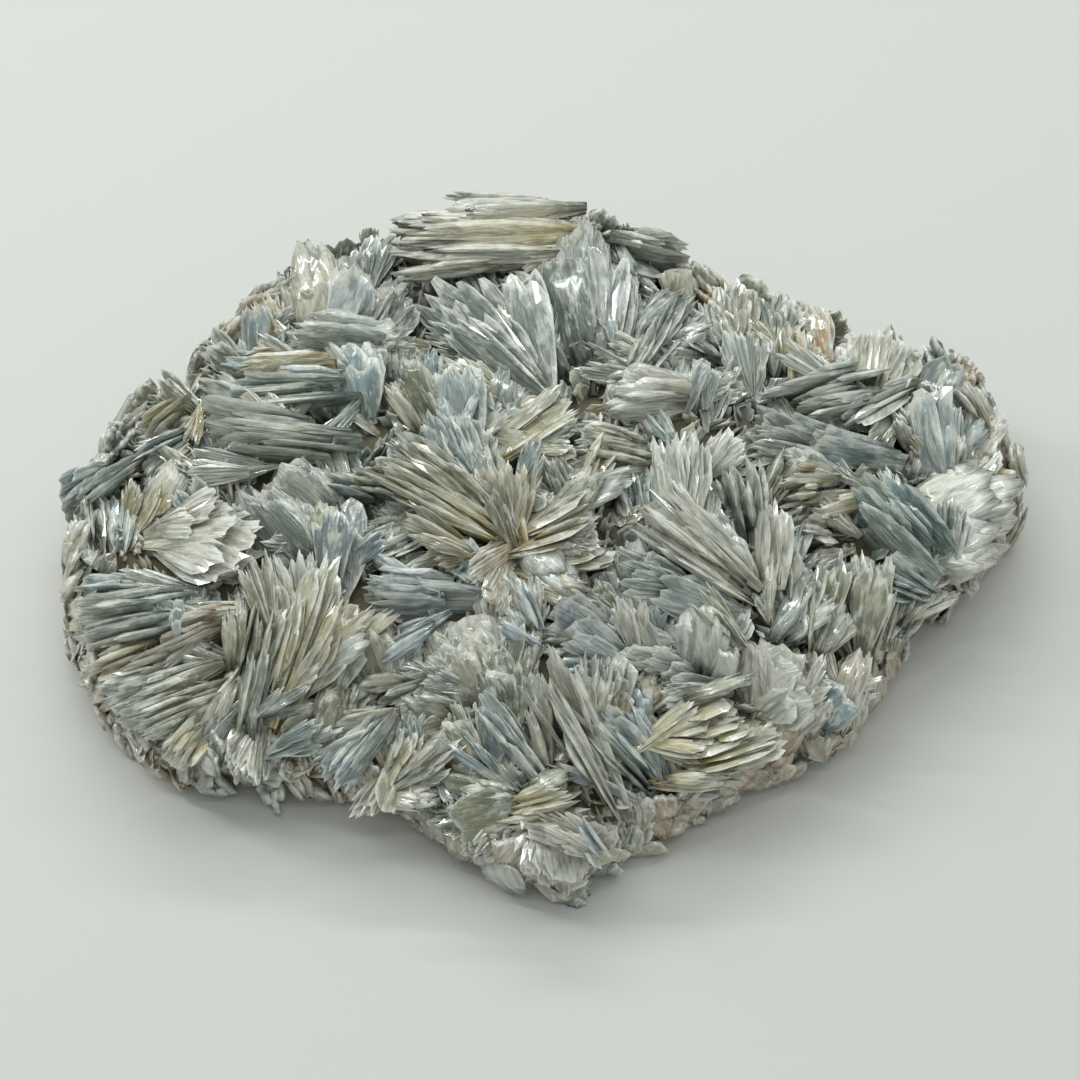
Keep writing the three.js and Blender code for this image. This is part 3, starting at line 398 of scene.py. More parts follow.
# One closed blade in a unit box: X across, Y along from the root and Z through. Its place in
# the box, and a value that is 1 on sharp edges and lower on ridges, are kept for the material.
def makeBlade(name, shape, dice):
    cut = bladeCut
    columns, rows = 2 * shape["ridges"] + 1, len(cut["rows"])
    asides = [2 * column / (columns - 1) - 1 for column in range(columns)]
    ends = []
    for column, aside in enumerate(asides):
        end = 1 - shape["taper"] * abs(aside) ** cut["taperPower"]
        end -= dice.uniform(0, shape["ragged"]) * dice.choice(cut["endSteps"])
        ends.append(end - (shape["notch"] if column % 2 == 0 else 0))
    ends = [end / max(ends) for end in ends]
    points, rims, front, back = [], [], {}, {}
    curve, lean = [dice.uniform(-1, 1) * shape["bent"] for _ in range(2)]
    for row, share in enumerate(cut["rows"]):
        inside = 0 < row < rows - 1
        for column, aside in enumerate(asides):
            stray = dice.uniform(-cut["strayAlong"], cut["strayAlong"])
            along = ends[column] * (share + stray * inside)
            widened = min(1, along / shape["belly"]) ** cut["bellyPower"]
            spread = shape["foot"] + (1 - shape["foot"]) * widened
            stray = dice.uniform(-cut["strayAcross"], cut["strayAcross"])
            across = aside * 0.5 * spread + stray * (row > 0)
            stray = dice.uniform(-cut["strayThrough"], cut["strayThrough"])
            through = curve * (along - 0.5) ** 2 + lean * aside * along * 0.5 + stray
            if inside and 0 < column < columns - 1:
                height = cut["ridgeHeight"] * (1 if column % 2 else 1 - shape["relief"])
                for side, key in ((1, front), (-1, back)):
                    key[row, column] = len(points)
                    points.append((across, along, through + side * height * dice.uniform(0.8, 1.0)))
                    rims.append(cut["ridgeRim"] * dice.random() if column % 2 else 0.0)
            else:
                front[row, column] = back[row, column] = len(points)
                points.append((across, along, through))
                rims.append(1.0 if row else cut["rootRim"])
    faces = []
    for row in range(rows - 1):
        for column in range(columns - 1):
            loop = [(row, column), (row, column + 1), (row + 1, column + 1), (row + 1, column)]
            faces.append([front[key] for key in loop])
            faces.append([back[key] for key in loop[::-1]])
    mesh = bpy.data.meshes.new(name)
    mesh.from_pydata(points, [], faces)
    mesh.polygons.foreach_set("use_smooth", ["soft" in shape] * len(faces))
    keep(mesh, "shape", points, "FLOAT_VECTOR", "vector")
    keep(mesh, "rim", rims)
    return bpy.data.objects.new(name, mesh)


bladeSets = {}
for shapeName, shape in bladeShapes.items():
    bladeSet = bpy.data.collections.new(f"{shapeName}Blades")
    bpy.context.scene.collection.children.link(bladeSet)
    for turn in range(shape["count"]):
        dice = random.Random(f"{shapeName}{turn}")
        bladeSet.objects.link(makeBlade(f"{shapeName}{turn}", shape, dice))
    bladeSets[shapeName] = bladeSet
print("single blades made")


# Tints as (root, tip) of each growth.
tints = {
    "cream": ("#ccbb84", "#ddd3b3"),
    "creamGrey": ("#b2ac91", "#c5c1ab"),
    "pinkCream": ("#c3af92", "#d2c6b1"),
    "yellowRoot": ("#dfcd8a", "#d2ccb0"),
    "yellow": ("#b3a468", "#bdb387"),
    "beige": ("#c2af89", "#ccc1a5"),
    "white": ("#b5bcb1", "#d6dacf"),
    "snow": ("#d2cbb2", "#e7e4d6"),
    "iceBlue": ("#abbbbe", "#c8d5db"),
    "blue": ("#929f9c", "#9fb2b5"),
    "greenBlue": ("#90a29d", "#a4b6b4"),
    "lavender": ("#98a4ab", "#abb9c3"),
    "teal": ("#87a09c", "#9cb5b4"),
    "bright": ("#e6e3d2", "#f3f1e6"),
    "deepGrey": ("#707a71", "#828c83"),
    "deepOlive": ("#6e6e52", "#7f8166"),
    "deepBlue": ("#74827f", "#7f9095"),
    "haze": ("#7c857b", "#848f89"),
    "grey": ("#949f96", "#adb5ac"),
    "warmGrey": ("#a29a81", "#b5b19b"),
    "olive": ("#949373", "#a8aa8f"),
    "darkOlive": ("#7b7b5a", "#909273"),
    "tan": ("#c19c71", "#d1b690"),
}

bariteLook = {
    "clear": "#727e75", "milk": "#dde2e0", "staining": "#ddd7c0", "frosting": "#f2f2e8",
    # The last colour is a brown painted shade for the points deep between the fans.
    "paintedShade": "#5d5640",
    "ior": 1.64, "coatRoughness": 0.1,
    "lineStrength": 1.0, "lineDepth": 0.00035,      # the growth lines' relief, in metres
    "frostStrength": 0.3, "frostDepth": 0.00006,    # the frosting's
    "bandCloud": 0.5, "wispCloud": 0.5,             # what bands and wisps add to the clouds
    "wispFrost": 1.2,                               # what wisps add to the frosted edges
}
# The patterns: lines or bands to a millimetre across, along and through a blade, or else the
# millimetres from one patch to the next; then the noise's detail, roughness and distortion.
baritePatterns = {
    "striation": ((1.9, 0.3, 1.9), 2.0, 0.7, 0.0),  # lines where layers of growth end
    "band": ((0.55, 0.14, 0.6), 2.0, 0.65, 1.2),    # bands of clouded growth
    "mottle": (9.0, 2.0, 0.7, 0.0),                 # stained patches
    "wisp": (2.6, 3.0, 0.65, 0.0),                  # cloudy wisps
    "frost": (0.25, 0.0, 0.5, 0.0),                 # the frosting's grain
}
# What each effect follows, between which two of its values, and what it goes from and to.
bariteEffects = {
    "tip": ("along", 0.05, 0.8, 0.0, 1.0),
    "clear": ("band", 0.52, 0.34, 0.0, 0.5),
    "milk": ("cloud", 0.5, 0.62, 0.0, 0.75),
    "stained": ("mottle", 0.42, 0.6, 0.0, 1.0),
    "shade": ("striation", 0.3, 0.7, 0.9, 1.12),
    "frosted": ("edge", 1.1, 1.5, 0.0, 0.8),
    # The painted shade is mixed in by how far a point lies under the growth height.
    "deep": ("depth", 0.0, 1.0, 0.0, 0.8),
    "dull": ("mottle", 0.35, 0.65, 0.16, 0.5),
    "seeThrough": ("band", 0.55, 0.4, 0.0, 0.22),
}


def newMaterial(name):
    material = bpy.data.materials.new(name)
    material.use_nodes = True
    material.node_tree.nodes.clear()
    return material, material.node_tree


# Barite is a glassy heavy crystal, here clouded: its faces glint, its clear bands are darker,
# its edges frost to white and its roots are stained cream to yellow. Deep between the fans a brown
# painted shade darkens it.
def makeBarite():
    look = bariteLook
    material, tree = newMaterial("clouded barite")
    known = {name: addNode(tree, "ShaderNodeAttribute", give=give, attribute_name=name)
             for name, give in (("rootTint", 0), ("tipTint", 0), ("shape", "Vector"),
                                ("grain", "Vector"), ("rim", "Fac"), ("gloss", "Fac"),
                                ("depth", "Fac"))}
    known["along"] = addNode(tree, "ShaderNodeSeparateXYZ", {0: known["shape"]}, give="Y")
    place = addNode(tree, "ShaderNodeTexCoord", give="Object")
    for name, (size, detail, rough, distortion) in baritePatterns.items():
        if isinstance(size, tuple):
            course, scale = addNode(tree, "ShaderNodeVectorMath", {0: known["grain"], 1: size},
                                    operation="MULTIPLY"), 1.0
        else:
            course, scale = place, 1 / toMetres / size
        known[name] = addNode(tree, "ShaderNodeTexNoise", {
            "Vector": course, "Scale": scale, "Detail": detail, "Roughness": rough,
            "Distortion": distortion})
    wisp = addNode(tree, "ShaderNodeMath", {0: known["wisp"], 1: look["wispCloud"]},
                   operation="MULTIPLY")
    known["cloud"] = addNode(tree, "ShaderNodeMath", {0: known["band"], 1: look["bandCloud"],
                             2: wisp}, operation="MULTIPLY_ADD")
    wisp = addNode(tree, "ShaderNodeMath", {0: known["wisp"], 1: look["wispFrost"]},
                   operation="MULTIPLY")
    known["edge"] = addNode(tree, "ShaderNodeMath", {0: known["rim"], 1: wisp}, operation="ADD")
    for name, (source, low, high, fromValue, toValue) in bariteEffects.items():
        known[name] = addNode(tree, "ShaderNodeMapRange", {
            "Value": known[source], "From Min": low, "From Max": high, "To Min": fromValue,
            "To Max": toValue}, interpolation_type="SMOOTHSTEP" if name == "tip" else "LINEAR")

    # Clear growth is darker and greener, because light goes in and doesn't come back. Clouded
    # growth is milky, or cream where stained. The lines darken and lighten what they cross.
    known["milky"] = addNode(tree, "ShaderNodeMix", {
        0: known["stained"], 6: linear(look["milk"]), 7: linear(look["staining"])}, give=2,
        data_type="RGBA")
    colour = known["rootTint"]
    # The mixes end with the painted shade in the depths between the fans.
    for share, over in (("tip", known["tipTint"]), ("clear", linear(look["clear"])),
                        ("milk", known["milky"]), ("shade", None),
                        ("frosted", linear(look["frosting"])), ("deep", linear(look["paintedShade"]))):
        if over is None:
            colour = addNode(tree, "ShaderNodeVectorMath", {0: colour, "Scale": known[share]},
                             operation="SCALE")
        else:
            colour = addNode(tree, "ShaderNodeMix", {0: known[share], 6: colour, 7: over},
                             give=2, data_type="RGBA")

    # Faces are glassy where clear and dull where frosted.
    rough = addNode(tree, "ShaderNodeMath", {0: known["dull"], 1: known["gloss"]},
                    operation="MULTIPLY")
    bump = addNode(tree, "ShaderNodeBump", {
        "Strength": look["lineStrength"], "Distance": look["lineDepth"],
        "Height": known["striation"]})
    bump = addNode(tree, "ShaderNodeBump", {
        "Strength": look["frostStrength"], "Distance": look["frostDepth"],
        "Height": known["frost"], "Normal": bump})
    skin = addNode(tree, "ShaderNodeBsdfPrincipled", {
        "Base Color": colour, "Roughness": rough, "IOR": look["ior"], "Normal": bump,
        "Transmission Weight": known["seeThrough"], "Coat Weight": 1.0,
        "Coat Roughness": look["coatRoughness"], "Coat IOR": look["ior"]})
    addNode(tree, "ShaderNodeOutputMaterial", {"Surface": skin})
    return material


crustLook = {
    # The top's dark olive brown is painted shade for the gaps between the fans, the wall's paler
    # tan grey is its own colour, and the last colour is a near black painted shade for the hollows.
    "patches": ("#4f4935", "#756d54"), "wall": ("#8f8871", "#b0aa97"), "paintedShade": "#332c1d",
    "patchScale": 140.0,   # about 7 mm from one patch to the next
    "gritScale": 1800.0,   # about half a millimetre from grain to grain
    "patchDepth": 0.0004, "gritDepth": 0.0001,
    "roughness": 0.75, "ior": 1.64,
}


# The crust that the blades grow from is massive barite of the same growth: dull, a dark olive
# brown on top that is painted shade for the gaps between the fans, near black painted shade in the
# hollows, and paler tan grey round the wall.
def makeCrustMaterial():
    look = crustLook
    material, tree = newMaterial("stained barite crust")
    place = addNode(tree, "ShaderNodeTexCoord", give="Object")
    wall, depth = [addNode(tree, "ShaderNodeAttribute", give="Fac", attribute_name=name)
                   for name in ("wall", "depth")]
    patches = addNode(tree, "ShaderNodeTexNoise", {
        "Vector": place, "Scale": look["patchScale"], "Detail": 6.0, "Roughness": 0.65})
    grit = addNode(tree, "ShaderNodeTexNoise", {
        "Vector": place, "Scale": look["gritScale"], "Detail": 3.0})
    colour, pale = [addNode(tree, "ShaderNodeMix", {0: patches, 6: linear(dark), 7: linear(light)},
                            give=2, data_type="RGBA")
                    for dark, light in (look["patches"], look["wall"])]
    # The wall takes its paler colour, and the points deep under the growth height take the near
    # black painted shade.
    for share, over in ((wall, pale), (depth, linear(look["paintedShade"]))):
        colour = addNode(tree, "ShaderNodeMix", {0: share, 6: colour, 7: over}, give=2,
                         data_type="RGBA")
    bump = addNode(tree, "ShaderNodeBump", {
        "Strength": 0.7, "Distance": look["patchDepth"], "Height": patches})
    bump = addNode(tree, "ShaderNodeBump", {
        "Strength": 0.4, "Distance": look["gritDepth"], "Height": grit, "Normal": bump})
    skin = addNode(tree, "ShaderNodeBsdfPrincipled", {
        "Base Color": colour, "Roughness": look["roughness"], "IOR": look["ior"],
        "Normal": bump})
    addNode(tree, "ShaderNodeOutputMaterial", {"Surface": skin})
    return material


barite = makeBarite()
crustBarite = makeCrustMaterial()


# What each kind of growth is made of, in millimetres and radians. roll, foot and blade lay the
# fan out, perMm and least say how many blades it has, and the rest how they differ. The first
# three kinds stand edge-on to the eye and the others face it.
fanKinds = {
    "feather": dict(edgeOn=True, blades="leaf", roll=22, foot=0.35, blade=0.42, sunk=1.5,
                    perMm=2.2, least=8, leastWidth=3.2, show=5.0, recess=0.8, thickness=1.1,
                    wander=0.09, lengthJitter=0.5, startJitter=0.6, open=1.5),
    "book": dict(edgeOn=True, blades="tablet", roll=30, foot=0.7, blade=0.4, sunk=0.0,
                 perMm=1.8, least=7, leastWidth=3.6, show=4.4, recess=0.6, thickness=1.1,
                 wander=0.06, lengthJitter=0.45, startJitter=0.5, open=0.9),
    "spear": dict(edgeOn=True, blades="leaf", roll=24, foot=0.6, blade=0.25, sunk=1.0,
                  perMm=1.8, least=4, leastWidth=2.0, show=2.4, recess=0.6, thickness=0.8,
                  wander=0.05, lengthJitter=0.35, startJitter=0.35, open=1.0),
}
faceOnTerms = ("blades", "roll", "foot", "fanOut", "sunk", "perMm", "least", "leastWidth", "width",
               "thickness", "wander", "lengthJitter", "startJitter", "tilt")
faceOnKinds = {
    "crest": ("crest", 62, 2.4, 1.0, 3.0, 1.1, 7, 0.32, 0.72, 0.8, 0.16, 0.5, 0.45, 0.2),
    "plate": ("shard", 70, 2.0, 1.0, 3.0, 0.9, 6, 0.36, 0.75, 0.7, 0.14, 0.4, 0.3, 0.13),
    "mass": ("sheet", 68, 2.4, 0.3, 3.0, 0.7, 6, 0.6, 1.0, 2.0, 0.1, 0.45, 0.3, 0.14),
    "slab": ("shard", 68, 2.0, 0.2, 3.0, 0.55, 5, 0.5, 1.0, 0.9, 0.06, 0.4, 0.3, 0.08),
    "clump": ("crest", 66, 3.0, 0.8, 3.0, 1.3, 9, 0.25, 0.6, 1.1, 0.18, 0.55, 0.5, 0.2),
    "band": ("sheet", 70, 3.0, 0.25, 3.0, 1.3, 9, 0.45, 0.8, 2.2, 0.07, 0.2, 0.5, 0.16),
    "sheet": ("sheet", 66, 2.2, 0.6, 3.0, 0.8, 5, 0.5, 0.95, 0.8, 0.2, 0.45, 0.35, 0.16),
    "wall": ("sheet", 78, 1.8, 0.8, 2.0, 0.5, 4, 0.4, 0.9, 1.9, 0.3, 0.5, 0.3, 0.25),
    "block": ("block", 66, 2.4, 1.0, 2.0, 0.9, 5, 0.34, 0.85, 0.9, 0.06, 0.4, 0.35, 0.08),
}
for name, terms in faceOnKinds.items():
    fanKinds[name] = dict(zip(faceOnTerms, terms), edgeOn=False)
fanLay = {
    "edgeReach": 4.5,       # how much wider than its rise an edge-on blade is, down into the crust
    "widestEdgeOn": 9,
    "edgeSweep": 0.1, "edgeTilt": 0.06, "edgeLean": 0.4,
    "faceSpread": 0.24,
    "faceSweep": 0.62,      # of a face-on fan's width over its length
    "widestSweep": 1.3,
    "faceDrop": 0.3,        # of a face-on fan's width
}

fanInputs = {
    "Int": ("Count", "Seed"),
    "Float": ("Length", "Sunk", "Width", "Least Width", "Show", "Recess", "Thickness", "Stack",
              "Spread", "Sweep", "Wander", "Open", "Lean", "Tilt", "Length Jitter",
              "Start Jitter", "Hang"),
    "Collection": ("Blades",), "Color": ("Root Tint", "Tip Tint"), "Material": ("Material",),
}


# Starts a tree with named inputs and one output, and gives it back with its inputs' sockets
# and what a modifier knows them by.
def startTree(name, inputs):
    tree = bpy.data.node_groups.new(name, "GeometryNodeTree")
    names = [(kind, item) for kind, items in inputs.items() for item in items]
    sockets = {item: tree.interface.new_socket(item, in_out="INPUT",
                                               socket_type=f"NodeSocket{kind}").identifier
               for kind, item in names}
    tree.interface.new_socket("Grown", in_out="OUTPUT", socket_type="NodeSocketGeometry")
    given = tree.nodes.new("NodeGroupInput").outputs
    return tree, {item: given[item] for item in sockets}, sockets


bladeDress = {
    "shift": 90,               # millimetres that a blade's pattern may be moved by
    "light": (0.82, 0.97), "gloss": (0.3, 1.1),
    "pale": "#d9d8cb",         # what some blades come near to
    "palePower": 2.5, "palest": 0.4,
}


# Gives instanced blades what their material reads, and makes them plain geometry: each
# blade's size, tints and gloss, and which crystal of the fan each face belongs to.
def dressBlades(tree, blades, size, rootTint, tipTint, ident, material):
    dress = bladeDress
    shift = addNode(tree, "FunctionNodeRandomValue", {0: (0,) * 3, 1: (dress["shift"],) * 3,
                    7: ident, 8: 101}, data_type="FLOAT_VECTOR")
    light, drawn, gloss = [
        addNode(tree, "FunctionNodeRandomValue", {2: low, 3: high, 7: ident, 8: salt}, give=1)
        for salt, (low, high) in enumerate((dress["light"], (0.0, 1.0), dress["gloss"]), 102)]
    paler = addNode(tree, "ShaderNodeMath", {0: drawn, 1: dress["palePower"]}, operation="POWER")
    paler = addNode(tree, "ShaderNodeMath", {0: paler, 1: dress["palest"]}, operation="MULTIPLY")
    stored = {"size": (size, "FLOAT_VECTOR"), "shift": (shift, "FLOAT_VECTOR")}
    for name, tint in (("rootTint", rootTint), ("tipTint", tipTint)):
        tint = addNode(tree, "ShaderNodeMix", {0: paler, 6: tint, 7: linear(dress["pale"])},
                       give=2, data_type="RGBA")
        tint = addNode(tree, "ShaderNodeVectorMath", {0: tint, "Scale": light}, operation="SCALE")
        stored[name] = tint, "FLOAT_COLOR"
    stored["gloss"] = gloss, "FLOAT"
    for name, (value, kind) in stored.items():
        blades = addNode(tree, "GeometryNodeStoreNamedAttribute", {
            "Geometry": blades, "Name": name, "Value": value}, data_type=kind, domain="INSTANCE")
    blades = addNode(tree, "GeometryNodeRealizeInstances", {"Geometry": blades})
    shape, size, shift = [
        addNode(tree, "GeometryNodeInputNamedAttribute", {"Name": name}, data_type="FLOAT_VECTOR")
        for name in ("shape", "size", "shift")]
    grain = addNode(tree, "ShaderNodeVectorMath", {0: shape, 1: size, 2: shift},
                    operation="MULTIPLY_ADD")
    island = addNode(tree, "GeometryNodeInputMeshIsland")
    for name, value, kind in (("grain", grain, "FLOAT_VECTOR"), ("crystal", island, "INT")):
        blades = addNode(tree, "GeometryNodeStoreNamedAttribute", {
            "Geometry": blades, "Name": name, "Value": value}, data_type=kind, domain="POINT")
    return addNode(tree, "GeometryNodeSetMaterial", {"Geometry": blades, "Material": material})


# Sets blades of a given size on points, each one drawn from a collection.
def setBlades(tree, points, collection, ident, salt, turn, size):
    blades = addNode(tree, "GeometryNodeCollectionInfo", {
        "Collection": collection, "Separate Children": True, "Reset Children": True})
    pick = addNode(tree, "FunctionNodeRandomValue", {4: 0, 5: 97, 7: ident, 8: salt}, give=2,
                   data_type="INT")
    return addNode(tree, "GeometryNodeInstanceOnPoints", {
        "Points": points, "Instance": blades, "Pick Instance": True, "Instance Index": pick,
        "Rotation": turn, "Scale": size})


# What is drawn for each blade, between two values.
fanDraws = {
    "placeDraw": (-0.6, 1.6), "widthDraw": (0, 1), "startDraw": (0, 1), "cutDraw": (0, 1),
    "thickDraw": (0.65, 1.35), "showDraw": (0.15, 1), "leanDraw": (-0.45, 0.45),
    "twistDraw": (-1, 1), "splayDraw": (-0.3, 0.3), "swingDraw": (-1, 1), "hungDraw": (0, 1),
}
# How a blade's numbers follow from the fan's inputs, its draws and the rows above: each row is
# a name, what is done and what it is done to.
fanSteps = [
    # Where in the stack, from -0.5 to 0.5, and where in the sweep, spread evenly.
    ("number", "ADD", "index", "placeDraw"), ("place", "DIVIDE", "number", "Count"),
    ("layer", "SUBTRACT", "place", 0.5), ("turns", "MULTIPLY_ADD", "index", 0.618, 0.3),
    ("turnShare", "FRACT", "turns"), ("sweep", "SUBTRACT", "turnShare", 0.5),
    # Sizes: most blades are narrow and a few reach the full width.
    ("extra", "SUBTRACT", "Width", "Least Width"), ("extraShare", "POWER", "widthDraw", 1.6),
    ("width", "MULTIPLY_ADD", "extraShare", "extra", "Least Width"),
    ("startShare", "MULTIPLY", "startDraw", "Start Jitter"),
    ("start", "MULTIPLY", "startShare", "Length"), ("cutDrawn", "POWER", "cutDraw", 1.7),
    ("cut", "MULTIPLY", "cutDrawn", "Length Jitter"), ("endShare", "SUBTRACT", 1.0, "cut"),
    ("end", "MULTIPLY", "endShare", "Length"), ("reach", "SUBTRACT", "end", "start"),
    ("leastReach", "MULTIPLY", "Length", 0.25), ("shownLength", "MAXIMUM", "reach", "leastReach"),
    ("length", "ADD", "shownLength", "Sunk"), ("thickness", "MULTIPLY", "Thickness", "thickDraw"),
    # Turns: how much of its face a blade shows, and which way it leans.
    ("shown", "MULTIPLY", "Show", "showDraw"), ("shownShare", "DIVIDE", "shown", "width"),
    ("facingSine", "MINIMUM", "shownShare", 0.92), ("facing", "ARCSINE", "facingSine"),
    ("opened", "MULTIPLY_ADD", "layer", "Open", "Lean"), ("leanDrawn", "ADD", "opened", "leanDraw"),
    ("leanCapped", "MINIMUM", "leanDrawn", 1.0), ("lean", "MAXIMUM", "leanCapped", -1.0),
    ("leanTurn", "MULTIPLY", "lean", "facing"), ("tiltTurn", "MULTIPLY", "twistDraw", "Tilt"),
    ("twist", "MULTIPLY_ADD", "leanTurn", -1.0, "tiltTurn"),
    ("parted", "MULTIPLY", "layer", "Spread"), ("tiltPart", "MULTIPLY", "splayDraw", "Tilt"),
    ("splay", "ADD", "parted", "tiltPart"),
    ("swept", "MULTIPLY", "sweep", "Sweep"), ("sweptBack", "MULTIPLY", "swept", -1.0),
    ("wandered", "MULTIPLY", "swingDraw", "Wander"), ("swing", "ADD", "sweptBack", "wandered"),
    # Places: narrow edge-on blades keep their edge near the eye, some sunk a little deeper.
    ("rootAlong", "SUBTRACT", "start", "Sunk"),
    ("spare", "SUBTRACT", "Width", "width"), ("halfSpare", "MULTIPLY", "spare", 0.5),
    ("recessShare", "POWER", "hungDraw", 1.5), ("recess", "MULTIPLY", "recessShare", "Recess"),
    ("hung", "SUBTRACT", "halfSpare", "recess"), ("aside", "MULTIPLY", "hung", "Hang"),
    ("through", "MULTIPLY", "layer", "Stack"),
]
seedStep = 997.0   # what keeps one fan's draws from the next fan's


# Blades from one root, laid in a stack, each turned a little from the next. X is across a
# blade, Y along it and Z through the stack.
def makeFanTree():
    tree, known, sockets = startTree("fanOfBlades", fanInputs)
    known["index"] = addNode(tree, "GeometryNodeInputIndex")
    step = addNode(tree, "ShaderNodeMath", {0: known["Seed"], 1: seedStep}, operation="MULTIPLY")
    ident = addNode(tree, "ShaderNodeMath", {0: known["index"], 1: step}, operation="ADD")
    for salt, (name, (low, high)) in enumerate(fanDraws.items(), 1):
        known[name] = addNode(tree, "FunctionNodeRandomValue", {2: low, 3: high, 7: ident,
                              8: salt}, give=1)
    for name, operation, *parts in fanSteps:
        inputs = {k: known[part] if isinstance(part, str) else part
                  for k, part in enumerate(parts)}
        known[name] = addNode(tree, "ShaderNodeMath", inputs, operation=operation)

    splay, swing, twist = [
        addNode(tree, "FunctionNodeAxisAngleToRotation", {0: axis, 1: known[name]})
        for name, axis in (("splay", (1, 0, 0)), ("swing", (0, 0, 1)), ("twist", (0, 1, 0)))]
    turn = addNode(tree, "FunctionNodeRotateRotation", {0: splay, 1: swing}, rotation_space="LOCAL")
    root = addNode(tree, "ShaderNodeCombineXYZ", {1: known["rootAlong"]})
    course = addNode(tree, "FunctionNodeRotateVector", {0: root, 1: turn})
    turn = addNode(tree, "FunctionNodeRotateRotation", {0: turn, 1: twist}, rotation_space="LOCAL")
    at = addNode(tree, "ShaderNodeCombineXYZ", {0: known["aside"], 2: known["through"]})
    at = addNode(tree, "ShaderNodeVectorMath", {0: at, 1: course}, operation="ADD")
    size = addNode(tree, "ShaderNodeCombineXYZ", {
        0: known["width"], 1: known["length"], 2: known["thickness"]})
    points = addNode(tree, "GeometryNodePoints", {0: known["Count"], 1: at})
    fan = setBlades(tree, points, known["Blades"], ident, len(fanDraws) + 1, turn, size)
    dressed = dressBlades(tree, fan, size, known["Root Tint"], known["Tip Tint"], ident,
                          known["Material"])
    addNode(tree, "NodeGroupOutput", {0: dressed})
    return tree, sockets


# An object that carries a tree with its inputs set, placed by a matrix in layout millimetres.
def treeObject(name, tree, sockets, values, matrix):
    carrier = bpy.data.objects.new(name, bpy.data.meshes.new(name))
    modifier = carrier.modifiers.new(name, "NODES")
    modifier.node_group = tree
    for key, value in values.items():
        modifier[sockets[key]] = value
    carrier.matrix_world = matrix
    bpy.context.scene.collection.objects.link(carrier)
    return carrier


# The frame of a fan, with its blades' origin: across, along and through.
def fanFrame(root, tip, toward, roll, drop):
    along = (tip - root).normalized()
    facing = (toward - along * toward.dot(along)).normalized()
    sideways = facing.cross(along)
    through = sideways * math.cos(roll) + facing * math.sin(roll)
    across = along.cross(through)
    origin = root - facing * (drop * abs(across.dot(facing)))
    matrix = Matrix.Identity(4)
    for column, axis in enumerate((across, along, through, origin)):
        for row in range(3):
            matrix[row][column] = axis[row]
    return matrix


# One fan of the table, ready to be evaluated. A fan that says what it faces gives its root and
# tip in space, and the others as they are seen on the display face.
def makeFan(name, kindName, root, tip, rise, wide, tint, roll=None, toward=None):
    kind, lay = fanKinds[kindName], fanLay
    dice = random.Random(name)
    if toward is None:
        root, tip = onCrust(root, rise[0]), onCrust(tip, rise[1])
        toward = eye - root
    length = (tip - root).length
    if kind["edgeOn"]:
        width = max(max(rise) + lay["edgeReach"], min(lay["widestEdgeOn"], length * kind["blade"]))
        stack = wide * kind["foot"]
        values = {"Width": width, "Least Width": kind["leastWidth"], "Show": kind["show"],
                  "Recess": kind["recess"], "Stack": stack, "Spread": (wide - stack) / length,
                  "Sweep": lay["edgeSweep"], "Open": kind["open"], "Tilt": lay["edgeTilt"],
                  "Lean": dice.uniform(-lay["edgeLean"], lay["edgeLean"]), "Hang": 1.0}
        drop = width / 2
    else:
        sweep = min(lay["widestSweep"], wide * lay["faceSweep"] / length) * kind["fanOut"]
        values = {"Width": wide * kind["width"], "Least Width": wide * kind["leastWidth"],
                  "Show": 0.0, "Recess": 0.0, "Stack": kind["foot"], "Sweep": sweep,
                  "Spread": lay["faceSpread"], "Open": 0.0, "Tilt": kind["tilt"],
                  "Lean": 0.0, "Hang": 0.0}
        drop = wide * lay["faceDrop"]
    values.update({
        "Count": max(kind["least"], round(wide * kind["perMm"])), "Seed": dice.randrange(10000),
        "Length": length, "Sunk": kind["sunk"], "Thickness": kind["thickness"],
        "Wander": kind["wander"], "Length Jitter": kind["lengthJitter"],
        "Start Jitter": kind["startJitter"], "Blades": bladeSets[kind["blades"]],
        "Material": barite, "Root Tint": linear(tints[tint][0]),
        "Tip Tint": linear(tints[tint][1]),
    })
    matrix = fanFrame(root, tip, toward, math.radians(kind["roll"] if roll is None else roll), drop)
    return treeObject(name, fanTree, fanSockets, values, matrix)


fanTree, fanSockets = makeFanTree()


# Evaluates the carriers of one region and joins what they make into one plain mesh, with the
# crystals numbered through.
def joinRegion(name, carriers):
    bpy.context.view_layer.update()
    depsgraph = bpy.context.evaluated_depsgraph_get()
    made, numbered = [], 0
    for carrier in carriers:
        mesh = bpy.data.meshes.new_from_object(carrier.evaluated_get(depsgraph))
        mesh.transform(carrier.matrix_world)
        crystals = crystalsOf(mesh)
        mesh.attributes["crystal"].data.foreach_set("value", crystals + numbered)
        numbered += int(crystals.max()) + 1
        made.append(bpy.data.objects.new(carrier.name + "Plain", mesh))
    for carrier in carriers:
        bpy.data.objects.remove(carrier)
    for item in made:
        bpy.context.scene.collection.objects.link(item)
    if len(made) > 1:
        with bpy.context.temp_override(active_object=made[0], object=made[0],
                                       selected_objects=made, selected_editable_objects=made):
            bpy.ops.object.join()
    made[0].name = made[0].data.name = name
    made[0].data.materials.clear()  # the carriers left an empty slot
    made[0].data.materials.append(barite)
    return made[0]


# Where the cluster is looked at from when buried crystals are sought.
lookouts = {
    "angles": [(0, 55), (0, 85), (0, 25), (0, 8)]    # azimuth and elevation
              + [(turn, level) for level in (15, 50) for turn in range(40, 330, 40)],
    "cell": 0.45,    # millimetres to a cell of a lookout's view
    "cells": 1000,   # cells along each side of the view
    "behind": 0.5,   # how far behind the foremost crystal a point is hidden
}


